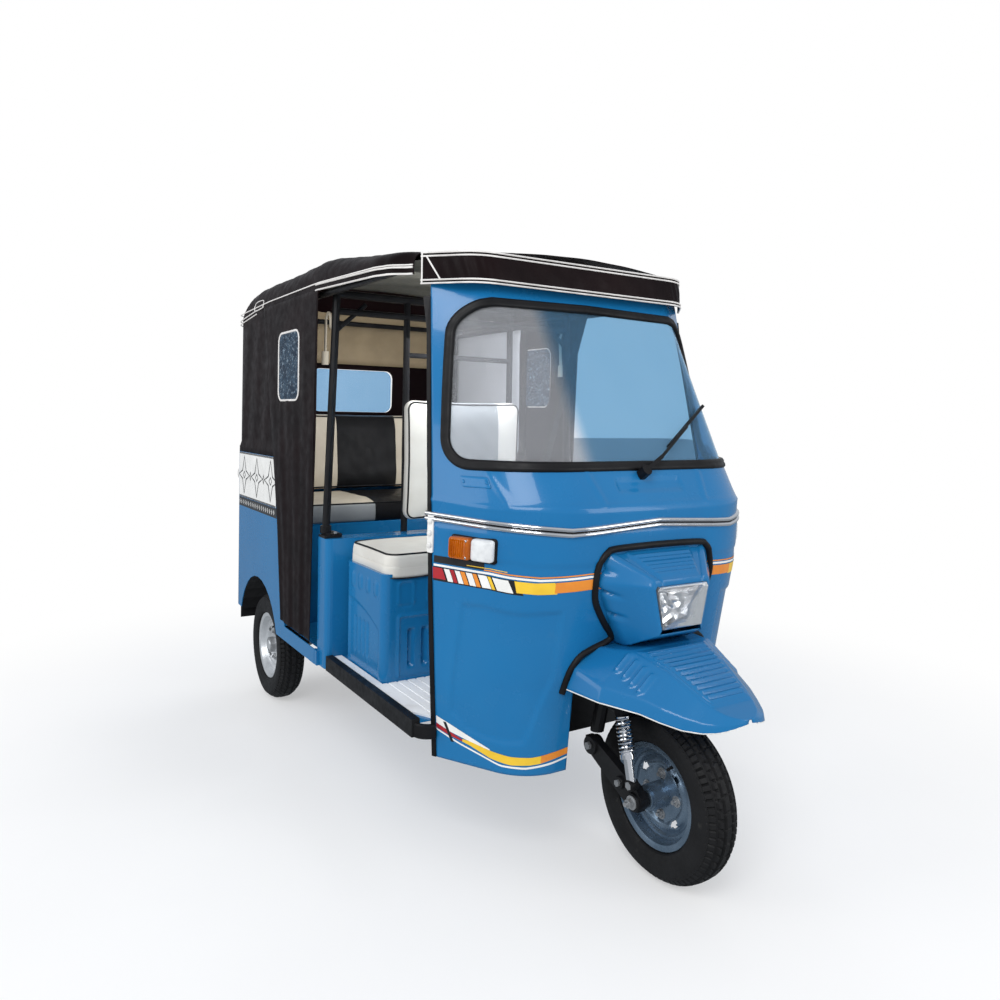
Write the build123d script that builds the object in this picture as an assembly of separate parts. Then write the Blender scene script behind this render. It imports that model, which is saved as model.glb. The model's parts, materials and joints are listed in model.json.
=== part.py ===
from build123d import *
import os
from math import acos, atan2, cos, pi, radians, sin, tan

# Auto rickshaw. X forward, Y to the vehicle's left, Z up, millimetres.
# The origin is the bottom centre of the whole vehicle's bounding box, on the ground.

# ---- driving dimensions ---------------------------------------------------
front_axle_x = 1031.0
wheelbase = 1945.0
rear_axle_x = front_axle_x - wheelbase
body_half_y = 600.0
side_half_y = body_half_y - 12.0
rear_half_track = body_half_y - 94.0

tyre_radius = 235.0
tyre_width = 114.0
bead_radius = 130.0
rim_width = 84.0
hub_radius = 34.0

sheet = 3.0
cloth = 4.0
joint_gap = 0.3

floor_top_z = 400.0
floor_sheet = 4.0
mat_thickness = 6.0
sill_low_z = 358.0

windscreen_low_z = 1150.0
windscreen_high_z = 1640.0
windscreen_corner = 95.0
pillar_face = 40.0
glass_thickness = 5.0
seal_lip = 14.0
seal_proud = 6.0

belt_z = 1100.0
bulkhead_x = front_axle_x - 1205.0
bulkhead_depth = 90.0
bulkhead_top_z = 832.0
entry_rear_x = front_axle_x - 1560.0
rear_wall_x = front_axle_x - 2345.0

bay_half_y = 235.0
bay_rear_x = front_axle_x - 290.0
bay_top_z = 600.0

tube_radius = 13.0

steer_rake = 16.0
steer_offset = 36.0

# Round forms are laid out as flat facets, with this many of them.
corner_facets = 7
wheel_facets = 30
tube_facets = 10


# ---- small helpers --------------------------------------------------------
def block(x0, x1, y0, y1, z0, z1):
    """Box between two corners."""
    centre = ((x0 + x1) / 2, (y0 + y1) / 2, (z0 + z1) / 2)
    return Pos(*centre) * Box(x1 - x0, y1 - y0, z1 - z0)


def both(shape):
    """The shape and its mirror image across the vehicle's centre plane."""
    return Compound([shape, mirror(shape, Plane.XZ)])


def rounded(points, radii, facets=corner_facets):
    """Outline whose corners are rounded to their own radii, in short straight facets."""
    outline = []
    for i, radius in enumerate(radii):
        corner = Vector(*points[i])
        if radius <= 0:
            outline.append((corner.X, corner.Y))
            continue
        to_last = (Vector(*points[i - 1]) - corner).normalized()
        to_next = (Vector(*points[(i + 1) % len(points)]) - corner).normalized()
        half_angle = acos(to_last.dot(to_next)) / 2
        run = radius / tan(half_angle)
        centre = corner + (to_last + to_next).normalized() * (radius / sin(half_angle))
        first = corner + to_last * run - centre
        last = corner + to_next * run - centre
        start = atan2(first.Y, first.X)
        turn = (atan2(last.Y, last.X) - start + pi) % (2 * pi) - pi
        for k in range(facets + 1):
            angle = start + turn * k / facets
            outline.append((centre.X + radius * cos(angle), centre.Y + radius * sin(angle)))
    return outline


def is_flat(a, b, c, d):
    """Whether four points lie in one plane."""
    normal = (b - a).cross(c - a)
    if normal.length < 1e-9:
        return True
    return abs((d - a).dot(normal.normalized())) < 1e-5


def ring_solid(rings):
    """Closed solid of flat facets through a row of outlines that have the same number of points."""
    rings = [[Vector(*point) for point in ring] for ring in rings]
    count = len(rings[0])
    corners = [rings[0], rings[-1]]
    for near, far in zip(rings, rings[1:]):
        for i in range(count):
            a, b, c, d = near[i], near[(i + 1) % count], far[(i + 1) % count], far[i]
            if is_flat(a, b, c, d):
                corners.append([a, b, c, d])
            elif i < count / 2:
                corners.extend([[a, b, c], [a, c, d]])
            else:
                corners.extend([[b, c, d], [b, d, a]])
    return Solid(Shell([Face(Wire.make_polygon(points)) for points in corners]))


def rod(a, b, radius, facets=tube_facets):
    """Round bar from point a to point b."""
    a = Vector(*a)
    b = Vector(*b)
    return extrude(Plane(a, z_dir=b - a) * RegularPolygon(radius, facets), amount=(b - a).length)


def ball(centre, radius):
    """Round end or elbow of a bar."""
    rings = []
    for latitude in (-60, -20, 20, 60):
        reach = radius * cos(radians(latitude))
        height = centre[2] + radius * sin(radians(latitude))
        rings.append([(centre[0] + reach * cos(2 * pi * k / tube_facets),
                       centre[1] + reach * sin(2 * pi * k / tube_facets),
                       height) for k in range(tube_facets)])
    return ring_solid(rings)


def side_shape(points, y0, y1):
    """Plate drawn in the side view (X, Z), from y0 to y1."""
    plane = Plane((0, y1, 0), x_dir=(1, 0, 0), z_dir=(0, -1, 0))
    return extrude(plane * Polygon(*points, align=None), amount=y1 - y0, dir=(0, -1, 0))


def front_shape(sketch, x0, x1):
    """Prism drawn in the front view (Y, Z), from x0 to x1."""
    plane = Plane((x0, 0, 0), x_dir=(0, 1, 0), z_dir=(1, 0, 0))
    return extrude(plane * sketch, amount=x1 - x0, dir=(1, 0, 0))


def turned(points, x, y, facets=wheel_facets):
    """Solid turned about a wheel axle at (x, y). Points are (offset along Y, radius), as a closed profile."""
    faces = []
    for (offset, radius), (next_offset, next_radius) in zip(points, points[1:] + points[:1]):
        for k in range(facets):
            one = 2 * pi * k / facets
            two = 2 * pi * (k + 1) / facets
            ring = [(offset, radius, one), (offset, radius, two), (next_offset, next_radius, two),
                    (next_offset, next_radius, one)]
            corners = [(x + r * sin(turn), y + side, tyre_radius - r * cos(turn)) for side, r, turn in ring]
            if radius == 0:
                corners = corners[1:]
            elif next_radius == 0:
                corners = corners[:3]
            if radius > 0 or next_radius > 0:
                faces.append(Face(Wire.make_polygon(corners)))
    return Solid(Shell(faces))


def cushion_block(x0, x1, half_y, z0, z1, corner, crown):
    """Cushion with rounded upright corners and a rounded top edge."""
    rings = []
    for height, inset in [(z0, 0), (z1 - crown, 0), (z1 - crown * 0.3, crown * 0.3), (z1, crown)]:
        outline = [(x0 + inset, inset - half_y), (x1 - inset, inset - half_y), (x1 - inset, half_y - inset),
                   (x0 + inset, half_y - inset)]
        rings.append([(x, y, height) for x, y in rounded(outline, [corner - inset * 0.5] * 4, 4)])
    return ring_solid(rings)


def rounded_window(x, z, width, height, corner):
    """Outline of a window with rounded corners, centred at (x, z)."""
    left = x - width / 2
    low = z - height / 2
    corners = [(left, low), (left + width, low), (left + width, low + height), (left, low + height)]
    return rounded(corners, [corner] * 4, 4)


def save(name, shape):
    """Write one node."""
    export_step(shape, f"parts/{name}.step")


os.makedirs("parts", exist_ok=True)

# ---- front cowl -----------------------------------------------------------
# Half plan outline at each height, from the front axle: door edge x and half width,
# nose corner x and half width (before rounding), and the corner's radius.
cowl_sections = [
    # z, edge_x, edge_y, nose_x, nose_y, corner_radius
    (292, -405, 512, -150, 372, 165),
    (530, -400, 526, -124, 386, 225),
    (840, -396, 541, -57, 417, 285),
    (1035, -396, 547, -43, 416, 300),
    (1140, -410, 541, -114, 400, 265),
    (1640, -500, 505, -398, 368, 140),
    (1712, -513, 500, -438, 362, 115),
]


near_tail = 60.0


def plan_outline(z, edge_x, edge_y, nose_x, nose_y, corner_radius, inset, back):
    """Closed outline at height z: two side runs, two rounded corners and the nose."""
    slope = (edge_y - nose_y) / (nose_x - edge_x)
    stations = [back]
    if back > 0:
        stations = [near_tail, 0] if back <= near_tail else [back, near_tail, 0]
    side = [(front_axle_x + edge_x - station, edge_y - inset + slope * station) for station in stations]
    tip_x = front_axle_x + nose_x - inset
    tip_y = nose_y - inset
    radius = corner_radius - inset
    right = [(x, -y) for x, y in side]
    no_radius = [0] * len(side)
    corners = right + [(tip_x, -tip_y), (tip_x, tip_y)] + side[::-1]
    outline = rounded(corners, no_radius + [radius, radius] + no_radius)
    return [(x, y, z) for x, y in outline]


def cowl_solid(inset, back):
    """Solid that fills the cowl's outline, drawn in by inset and carried back behind its edge."""
    return ring_solid([plan_outline(*section, inset, back) for section in cowl_sections])


def edge_x_at(z):
    """X of the cowl's door edge at height z."""
    for low, high in zip(cowl_sections, cowl_sections[1:]):
        if z <= high[0]:
            share = (z - low[0]) / (high[0] - low[0])
            return front_axle_x + low[1] + share * (high[1] - low[1])
    return front_axle_x + cowl_sections[-1][1]


def windscreen_prism(grow):
    """Sideways prism of the windscreen opening, grown all round."""
    low = windscreen_low_z - grow
    high = windscreen_high_z + grow
    ahead = front_axle_x + 400
    corners = [(edge_x_at(windscreen_low_z) + pillar_face - grow, low), (ahead, low), (ahead, high),
               (edge_x_at(windscreen_high_z) + pillar_face - grow, high)]
    radius = windscreen_corner + grow
    return side_shape(rounded(corners, [radius, 0, 0, radius], 4), -700, 700)


cowl_outer = cowl_solid(0, 0)
cowl_shell = cowl_outer - cowl_solid(sheet, 30)
wheel_bay = block(bay_rear_x, front_axle_x + 100, -bay_half_y, bay_half_y, 200, bay_top_z)
front_cowl = cowl_shell - wheel_bay - windscreen_prism(0)
save("front_cowl", front_cowl)

glass_inset = sheet + 1.5
windscreen = cowl_solid(glass_inset, 30) - cowl_solid(glass_inset + glass_thickness, 60)
windscreen = windscreen & windscreen_prism(seal_lip)
save("windscreen", windscreen)

seal_cap = (cowl_solid(-seal_proud, 0) - cowl_solid(-joint_gap, 30)) & windscreen_prism(seal_lip)
seal_cap = seal_cap - windscreen_prism(-seal_lip)
seal_web = (cowl_solid(-seal_proud, 0) - cowl_solid(glass_inset - joint_gap, 30)) & windscreen_prism(-1)
seal_web = seal_web - windscreen_prism(-seal_lip)
save("windscreen_seal", seal_cap + seal_web)

# ---- chrome band round the cowl -------------------------------------------
band_height = 26.0
band_proud = 7.0
band_line = [
    # y, low_z
    (-700, 998), (-300, 966), (0, 982), (300, 966), (700, 998),
]


def band_zone(low, high):
    """Front-view strip that follows the band line, between two heights above its lower edge."""
    below = [(y, z + low) for y, z in band_line]
    above = [(y, z + high) for y, z in reversed(band_line)]
    return front_shape(Polygon(*below, *above, align=None), 0, 2000)


band = (cowl_solid(-band_proud, -6) - cowl_solid(-joint_gap, 30)) & band_zone(0, band_height)
groove = (cowl_solid(-band_proud - 1, 0) - cowl_solid(-band_proud + 3, 30)) & band_zone(11, 15)
save("cowl_band", band - groove)

# ---- rubber on the door edges and sills ------------------------------------
edge_points = [(front_axle_x + s[1], s[0]) for s in cowl_sections[:-1]]
strip = side_shape([(x - 12, z) for x, z in edge_points]
                   + [(x - joint_gap, z) for x, z in reversed(edge_points)], -700, 700)
edge_rubber = (cowl_solid(-3, 14) - cowl_solid(sheet + 6, 40)) & strip
sill_front_x = edge_x_at(sill_low_z) - 14
sill_rear_x = bulkhead_x + bulkhead_depth + 1
sill = block(sill_rear_x, sill_front_x, -side_half_y, -side_half_y + 26, sill_low_z,
             floor_top_z + mat_thickness + 4)
save("door_edge_rubbers", Compound(edge_rubber.solids() + both(sill).solids()))

# ---- floor, mat and wheel arch ---------------------------------------------
floor_half_y = side_half_y - 26 - joint_gap
floor_rear_x = front_axle_x - 1625
floor_pan = block(floor_rear_x, front_axle_x - 60, -floor_half_y, floor_half_y, floor_top_z - floor_sheet,
                  floor_top_z)
floor_pan = floor_pan & (cowl_solid(sheet + 6 + joint_gap, 1800) + block(floor_rear_x, sill_front_x, -700,
                                                                         700, 300, 500))
bay_clear = block(bay_rear_x - joint_gap, front_axle_x + 100, -bay_half_y - joint_gap,
                  bay_half_y + joint_gap, 200, 700)
floor_pan = floor_pan - bay_clear
save("floor_pan", floor_pan)

arch_box = block(bay_rear_x, front_axle_x + 100, -bay_half_y, bay_half_y, 330, bay_top_z)
arch_hollow = block(bay_rear_x + 2, front_axle_x + 100, -bay_half_y + 2, bay_half_y - 2, 300, bay_top_z - 2)
wheel_arch = (arch_box - arch_hollow) & cowl_solid(sheet + joint_gap, 100)
column_slot = block(bay_rear_x - 5, front_axle_x - 40, -48, 48, bay_top_z - 10, bay_top_z + 5)
save("wheel_arch", wheel_arch - column_slot)

mat = block(sill_rear_x + 5, bay_rear_x - 10, -floor_half_y + 6, floor_half_y - 6, floor_top_z,
            floor_top_z + mat_thickness)
mat_ribs = Compound([
    block(sill_rear_x + 20, bay_rear_x - 25, y - 4, y + 4, floor_top_z + mat_thickness - 2, floor_top_z + 20)
    for y in range(-510, 511, 34)])
mat = (mat - mat_ribs) & cowl_solid(sheet + 6, 1500)
seat_front_x = front_axle_x - 752
seat_rear_x = front_axle_x - 1078
seat_half_y = 528.0
mat = mat - block(sill_rear_x, seat_front_x + 1, -seat_half_y - 1, seat_half_y + 1, 300, 600)
save("floor_mat", mat)

# ---- chassis ---------------------------------------------------------------
rail_half_y = 300.0
rail_low_z = 320.0
rails = both(block(rear_wall_x + 90, bay_rear_x - 20, -rail_half_y - 25, -rail_half_y + 25, rail_low_z,
                   floor_top_z - floor_sheet))
cross_x = [bay_rear_x - 70, 200, -150, -520, -760]
crosses = [block(x, x + 50, -rail_half_y + 25, rail_half_y - 25, rail_low_z,
                 rail_low_z + 50) for x in cross_x]
chassis = rails.solids()
frame = chassis[0] + chassis[1]
for cross in crosses:
    frame = frame + cross
save("chassis_frame", frame)

# ---- bulkhead behind the driver ---------------------------------------------
bulkhead_front_x = bulkhead_x + bulkhead_depth
bulkhead_corners = [(bulkhead_x, -side_half_y), (bulkhead_front_x, -side_half_y),
                    (bulkhead_front_x, side_half_y),
                    (bulkhead_x, side_half_y)]
bulkhead_plan = Polygon(*rounded(bulkhead_corners, [0, 24, 24, 0], 4), align=None)
bulkhead = extrude(Pos(0, 0, sill_low_z) * bulkhead_plan, amount=bulkhead_top_z - sill_low_z, dir=(0, 0, 1))
bulkhead = bulkhead - block(bulkhead_x + sheet, bulkhead_x + bulkhead_depth - sheet, -side_half_y + 26,
                            side_half_y - 26, 0, bulkhead_top_z - sheet)
bulkhead = bulkhead - block(bulkhead_x - 5, bulkhead_x + bulkhead_depth + 5, -floor_half_y - joint_gap,
                            floor_half_y + joint_gap, 0, floor_top_z + joint_gap)
save("bulkhead", bulkhead)

# ---- rear body tub -----------------------------------------------------------
arch_radius = 295.0
arch_centre_z = tyre_radius + 20
corner_radius_plan = 75.0


def rear_plan(inset, z0, z1, corner):
    """Upright prism of the rear body's plan, drawn in by inset, with rounded rear corners."""
    half = body_half_y - inset
    corners = [(rear_wall_x + inset, -half), (front_axle_x, -half), (front_axle_x, half),
               (rear_wall_x + inset, half)]
    outline = rounded(corners, [corner - inset, 0, 0, corner - inset], 4)
    return extrude(Pos(0, 0, z0) * Polygon(*outline, align=None), amount=z1 - z0, dir=(0, 0, 1))


def wheel_cut(radius, y0, y1):
    """Round bar across the vehicle about the rear wheel arch."""
    return rod((rear_axle_x, y0, arch_centre_z), (rear_axle_x, y1, arch_centre_z), radius, wheel_facets)


tub_profile = [(bulkhead_x - joint_gap, sill_low_z), (bulkhead_x - joint_gap, floor_top_z + 14),
               (entry_rear_x, floor_top_z + 14), (entry_rear_x - 110, 800), (entry_rear_x - 120, belt_z),
               (rear_wall_x, belt_z), (rear_wall_x, 560), (rear_wall_x + 45, sill_low_z)]
tub = side_shape(tub_profile, -body_half_y, body_half_y) & rear_plan(0, 200, 1200, corner_radius_plan)
tub_room = rear_plan(sheet, 200, 1300, corner_radius_plan)
tub_room = tub_room - side_shape([(rear_wall_x - 5, 560 - 1), (rear_wall_x + sheet, 560 - 1),
                                  (rear_wall_x + 45 + sheet, sill_low_z),
                                  (rear_wall_x + 55, 190), (rear_wall_x - 5, 190)], -700, 700)
rear_body = tub - tub_room - wheel_cut(arch_radius, -700, 700)
plate_hole_pitch = 150.0
plate_hole_radius = 4.0
plate_hole_z = 700.0
for y in (-plate_hole_pitch / 2, plate_hole_pitch / 2):
    rear_body = rear_body - Pos(rear_wall_x, y, plate_hole_z) * Rot(0, 90, 0) * Cylinder(plate_hole_radius,
                                                                                         40)
save("rear_body", rear_body)

housing_outer = wheel_cut(arch_radius - joint_gap, -body_half_y + sheet + 1, -436)
housing_inner = wheel_cut(arch_radius - joint_gap - 2, -body_half_y, -438)
housing_zone = block(rear_axle_x - 320, rear_axle_x + 320, -700, 0, 345, 700)
housing = (housing_outer - housing_inner) & housing_zone
save("rear_wheel_housings", both(housing))

flap = block(rear_axle_x - 305, rear_axle_x - 300, -body_half_y + 6, -body_half_y + 160, 300, 470)
save("mud_flaps", both(flap))

# ---- seats -------------------------------------------------------------------
seat_box_top = 762.0
seat_wall = 4.0
seat_corners = [(seat_rear_x, -seat_half_y), (seat_front_x, -seat_half_y), (seat_front_x, seat_half_y),
                (seat_rear_x, seat_half_y)]
seat_plan = Polygon(*rounded(seat_corners, [30] * 4, 4), align=None)
seat_low_z = floor_top_z + joint_gap
seat_box = extrude(Pos(0, 0, seat_low_z) * seat_plan, amount=seat_box_top - seat_low_z, dir=(0, 0, 1))
seat_box = seat_box - block(seat_rear_x + seat_wall, seat_front_x - seat_wall, -seat_half_y + seat_wall,
                            seat_half_y - seat_wall, 0, seat_box_top - seat_wall)
front_slots = [
    # y, low_z, high_z
    (-430, 470, 590), (-395, 470, 590), (-360, 470, 590),
    (-35, 470, 590), (0, 470, 590), (35, 470, 590),
    (360, 470, 590), (395, 470, 590), (430, 470, 590),
]
for y, low_z, high_z in front_slots:
    seat_box = seat_box - block(seat_front_x - 10, seat_front_x + 5, y - 7, y + 7, low_z, high_z)
side_slot_x = [-990, -955, -920, -885]
for x in side_slot_x:
    slot_x = front_axle_x + x
    seat_box = seat_box - block(slot_x - 5, slot_x + 5, -700, 700, 520, 640)
save("driver_seat_box", seat_box)

cushion_top = 832.0
cushion = cushion_block(seat_rear_x - 4, seat_front_x + 6, seat_half_y - 12, seat_box_top + joint_gap,
                        cushion_top, 45, 16)
save("driver_seat_cushion", cushion)

bench_top_z = 812.0
bench_front_x = front_axle_x - 1660
bench_half_y = body_half_y - sheet - 3
bench = side_shape([(bench_front_x + 40, floor_top_z + joint_gap), (bench_front_x, bench_top_z),
                    (rear_wall_x + 60, bench_top_z),
                    (rear_wall_x + 60, bench_top_z - sheet), (bench_front_x - 3, bench_top_z - sheet),
                    (bench_front_x + 36, floor_top_z + joint_gap)], -bench_half_y, bench_half_y)
bench = bench - wheel_cut(arch_radius + 1, -700, 700)
save("rear_seat_base", bench)
bench_cushion = cushion_block(front_axle_x - 2190, front_axle_x - 1652, body_half_y - 35,
                              bench_top_z + joint_gap, 905, 40, 20)
save("rear_seat_cushion", bench_cushion)
back_profile = [(front_axle_x - 2190, 910), (front_axle_x - 2110, 910), (front_axle_x - 2165, 1290),
                (front_axle_x - 2225, 1290)]
save("rear_seat_back", side_shape(rounded(back_profile, [14, 14, 24, 24], 3), 40 - body_half_y,
                                  body_half_y - 40))

# ---- posts and roof frame ------------------------------------------------------
roof_rail_z = 1731.0
post_lean = 32.0
post_x = front_axle_x - 1200
post_base_y = side_half_y - 26
rail_y = body_half_y - 32
partition_y = 241.0
cross_bar_z = 1667.0
low_bar_z = 1520.0
post_radius = 15.0


def post_y(z):
    """Half width of the outer posts at height z."""
    return post_base_y - post_lean * (z - bulkhead_top_z) / (roof_rail_z - bulkhead_top_z)


outer_post = rod((post_x, -post_y(bulkhead_top_z), bulkhead_top_z + 3),
                 (post_x, -post_y(roof_rail_z), roof_rail_z), post_radius)
foot = block(post_x - 5 - 50, post_x - 5 + 66, -post_y(bulkhead_top_z) - 26, -post_y(bulkhead_top_z) + 40,
             bulkhead_top_z + joint_gap, bulkhead_top_z + 9)
foot = foot & block(bulkhead_x + 2, bulkhead_x + bulkhead_depth - 4, -700, 0, 0, 2000)
cross_bar = rod((post_x, -post_y(cross_bar_z), cross_bar_z), (post_x, post_y(cross_bar_z), cross_bar_z),
                tube_radius)
roof_hoop = rod((post_x, -post_y(roof_rail_z), roof_rail_z), (post_x, post_y(roof_rail_z), roof_rail_z),
                post_radius)
partition_post = rod((post_x, -partition_y, bulkhead_top_z + joint_gap), (post_x, -partition_y, roof_rail_z),
                     tube_radius)
low_bar = rod((post_x, -partition_y, low_bar_z), (post_x, partition_y, low_bar_z), 10)
grab = rod((post_x, -post_y(1590), 1590), (post_x, -post_y(1590) + 120, 1700), 9)
side_rail = rod((front_axle_x - 620, -rail_y, 1722), (front_axle_x - 2150, -rail_y, 1738), 12)
rear_hoop = rod((front_axle_x - 2150, -rail_y, 1738), (front_axle_x - 2150, rail_y, 1738), 12)
frame_parts = [outer_post, foot, partition_post, grab, side_rail]
roof_frame = cross_bar + roof_hoop + low_bar + rear_hoop
for piece in frame_parts:
    roof_frame = roof_frame + piece + mirror(piece, Plane.XZ)
save("roof_frame", roof_frame)

backrest_outline = rounded_window(0, 1112.5, 524, 465, 30)
backrest = front_shape(Polygon(*backrest_outline, align=None), post_x + post_radius + 2,
                       post_x + post_radius + 47)
save("driver_backrest", backrest)

# ---- visor ------------------------------------------------------------------------
visor_low_z = 1676.0
visor_top_z = 1772.0
visor_cloth = 5.0
visor_sections = [
    # z, edge_x, edge_y, nose_x, nose_y, corner_radius
    (visor_low_z, -520, 528, -384, 404, 125),
    (visor_top_z, -524, 526, -396, 402, 125),
]


def visor_solid(inset, back):
    """Solid inside the visor band, drawn in by inset."""
    return ring_solid([plan_outline(*section, inset, back) for section in visor_sections])


visor = visor_solid(0, 0) - visor_solid(visor_cloth, 30)
save("visor", visor)

# ---- canopy --------------------------------------------------------------------
roof_sections = [
    # x, edge_z, knee_z, crown_z
    (-380, 1733, 1760, 1790),
    (-1200, 1766, 1860, 1912),
    (-1800, 1766, 1860, 1912),
    (-2345, 1752, 1845, 1895),
]
roof_low_z = belt_z + joint_gap
canopy_front_x = front_axle_x - 404
knee_half = 520.0


def roof_loft(inset, low_z):
    """Solid under the roof cloth, from a row of arched sections."""
    rings = []
    for x, edge_z, knee_z, crown_z in roof_sections:
        half = body_half_y - inset
        knee = knee_half - inset * 0.6
        edge = edge_z - inset * 0.4
        top = knee_z - inset
        crown = crown_z - inset
        arch = [(half, low_z), (half, edge)]
        for k in range(1, 5):
            turn = radians(90 * k / 4)
            arch.append((knee + (half - knee) * cos(turn), edge + (top - edge) * sin(turn)))
        for k in range(1, 5):
            y = knee * (1 - k / 4)
            arch.append((y, crown - (crown - top) * (y / knee) ** 2))
        arch = arch + [(-y, z) for y, z in reversed(arch[:-1])]
        rings.append([(front_axle_x + x, y, z) for y, z in arch])
    return ring_solid(rings)


def canopy_plan(inset):
    """Upright prism of the canopy's plan, drawn in by inset."""
    half = body_half_y - inset
    rear = rear_wall_x + inset
    nose = canopy_front_x - inset
    corners = [(rear, -half), (front_axle_x - 520, -half), (nose, -half + 105), (nose, half - 105),
               (front_axle_x - 520, half), (rear, half)]
    tail = corner_radius_plan - inset
    outline = rounded(corners, [tail, 0, 90 - inset, 90 - inset, 0, tail], 4)
    return extrude(Pos(0, 0, 1000) * Polygon(*outline, align=None), amount=1000, dir=(0, 0, 1))


def canopy_side(inset):
    """Sideways prism that rounds the canopy's rear top edge."""
    corners = [(rear_wall_x + inset, 900), (front_axle_x, 900), (front_axle_x, 1925 - inset),
               (rear_wall_x + 330, 1925 - inset), (rear_wall_x + inset + 22, 1660)]
    return side_shape(rounded(corners, [0, 0, 0, 120, 120], 5), -700, 700)


def canopy_solid(inset, low_z):
    """Outer form of the canopy drawn in by inset."""
    return roof_loft(inset, low_z) & canopy_plan(inset) & canopy_side(inset)


canopy = canopy_solid(0, roof_low_z) - canopy_solid(cloth, roof_low_z - 50)
door_gap = side_shape([(entry_rear_x - 22, 0), (entry_rear_x - 22, 1738), (front_axle_x - 1200, 1738),
                       (front_axle_x - 400, 1703), (front_axle_x + 100, 1690), (front_axle_x + 100, 0)],
                      -700, 700)
canopy = canopy - door_gap
visor_zone = block(front_axle_x - 545, front_axle_x, -700, 700, 1600, visor_top_z + joint_gap)
visor_room = visor_solid(visor_cloth + joint_gap, 60)
visor_room = visor_room + block(front_axle_x - 545, canopy_front_x + 0.5, -300, 300, visor_top_z - 1,
                                visor_top_z + 1)
canopy = canopy - (visor_zone - visor_room)
window_low_z = 1300.0
window_high_z = 1520.0
window_half_y = 225.0
window_corner = 40.0
window_z = (window_low_z + window_high_z) / 2
window_height = window_high_z - window_low_z
window_outline = rounded_window(0, window_z, 2 * window_half_y, window_height, window_corner)
canopy = canopy - front_shape(Polygon(*window_outline, align=None), rear_wall_x - 20, rear_wall_x + 60)
save("canopy", canopy)
pane_outline = rounded_window(0, window_z, 2 * window_half_y - 1, window_height - 1, window_corner - 0.5)
save("rear_window", front_shape(Polygon(*pane_outline, align=None), rear_wall_x + 1, rear_wall_x + 3))

# ---- side curtains ---------------------------------------------------------------
curtain_y = body_half_y + 1.0
curtain_front_low = (front_axle_x - 1240, 432)
curtain_front_high = (front_axle_x - 1196, 1744)
curtain_rear_high = (entry_rear_x - 300, 1744)
curtain_rear_mid = (entry_rear_x - 75, 800)
curtain_rear_low = (entry_rear_x - 20, 452)
curtain_outline = [curtain_front_low, curtain_front_high, curtain_rear_high, curtain_rear_mid,
                   curtain_rear_low]
curtain_window = (front_axle_x - 1530, 1475, 250, 270, 38)
curtain_pane = (front_axle_x - 1530, 1475, 249, 269, 37.5)
curtain = side_shape(curtain_outline, -curtain_y - cloth, -curtain_y)
curtain = curtain - side_shape(rounded_window(*curtain_window), -curtain_y - cloth - 5, -curtain_y + 5)
save("side_curtains", both(curtain))
save("curtain_windows", both(side_shape(rounded_window(*curtain_pane), -curtain_y - 3, -curtain_y - 1)))

# ---- nose nacelle, headlamp and mudguard ---------------------------------------------
nacelle_sections = [
    # x, low_z, low_half, shoulder_z, shoulder_half, top_z, top_half
    (-200, 655, 192, 850, 216, 908, 180),
    (-50, 655, 190, 850, 214, 906, 178),
    (45, 700, 78, 838, 108, 850, 98),
]


def six_sided(x, low_z, low_half, shoulder_z, shoulder_half, top_z, top_half):
    """Closed outline across the nose: low edge, shoulders and top."""
    points = [(-low_half, low_z), (-shoulder_half, shoulder_z), (-top_half, top_z),
              (top_half, top_z), (shoulder_half, shoulder_z), (low_half, low_z)]
    return [(front_axle_x + x, y, z) for y, z in points]


def grown(rows, inset):
    """The section rows drawn in by inset."""
    return [(x - inset if x == rows[-1][0] else x, a + inset, b - inset, c - inset * 0.5, d - inset,
             e - inset, f - inset)
            for x, a, b, c, d, e, f in rows]


def top_at(rows, x):
    """Height and half width of the top of a nose form at x."""
    for near, far in zip(rows, rows[1:]):
        if x <= far[0]:
            share = (x - near[0]) / (far[0] - near[0])
            return near[5] + share * (far[5] - near[5]), near[6] + share * (far[6] - near[6])
    return rows[-1][5], rows[-1][6]


def top_rib(rows, x, share):
    """Pressed rib across the top of a nose form, over a share of its width."""
    width = 7
    near_z = top_at(rows, x)[0]
    far_z, half = top_at(rows, x + width)
    profile = [(front_axle_x + x, near_z - 2), (front_axle_x + x, near_z + 3.5),
               (front_axle_x + x + width, far_z + 3.5), (front_axle_x + x + width, far_z - 2)]
    return side_shape(profile, -share * half, share * half)


def grown_nose(rows, inset):
    """Solid inside the nose form, drawn in by inset."""
    return ring_solid([six_sided(*row) for row in grown(rows, inset)])


nacelle_outer = ring_solid([six_sided(*row) for row in nacelle_sections])
nacelle_inner = grown_nose(nacelle_sections, sheet)
lamp_outline = [(-71, 716), (-96, 826), (-90, 835), (90, 835), (96, 826), (71, 716)]
lamp_rear_x = front_axle_x + 16
lamp_face_x = front_axle_x + 50
socket = front_shape(Polygon(*[(y * 1.006, z) for y, z in lamp_outline], align=None), lamp_rear_x - 1,
                     lamp_face_x + 60)
nacelle = nacelle_outer - nacelle_inner
for x in range(-46, 30, 14):
    nacelle = nacelle + top_rib(nacelle_sections, x, 0.68)
nacelle = nacelle - cowl_solid(-joint_gap, 0) - socket
nacelle = nacelle.solids().sort_by(SortBy.VOLUME)[-1]
for low, high in [(700, 724), (742, 766), (784, 808)]:
    flute = [(front_axle_x - 45, low), (front_axle_x - 12, low + 8), (front_axle_x - 12, high),
             (front_axle_x - 45, high - 4)]
    nacelle = nacelle - (side_shape(flute, -260, 260) - grown_nose(nacelle_sections, 6))
save("nose_nacelle", nacelle)
lamp_sections = [
    # x, share of the outline's size
    (lamp_rear_x, 0.985), (lamp_face_x, 0.985), (lamp_face_x + 9, 0.93), (lamp_face_x + 14, 0.80),
]
lamp_middle_z = 776.0
lamp_rings = []
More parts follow.
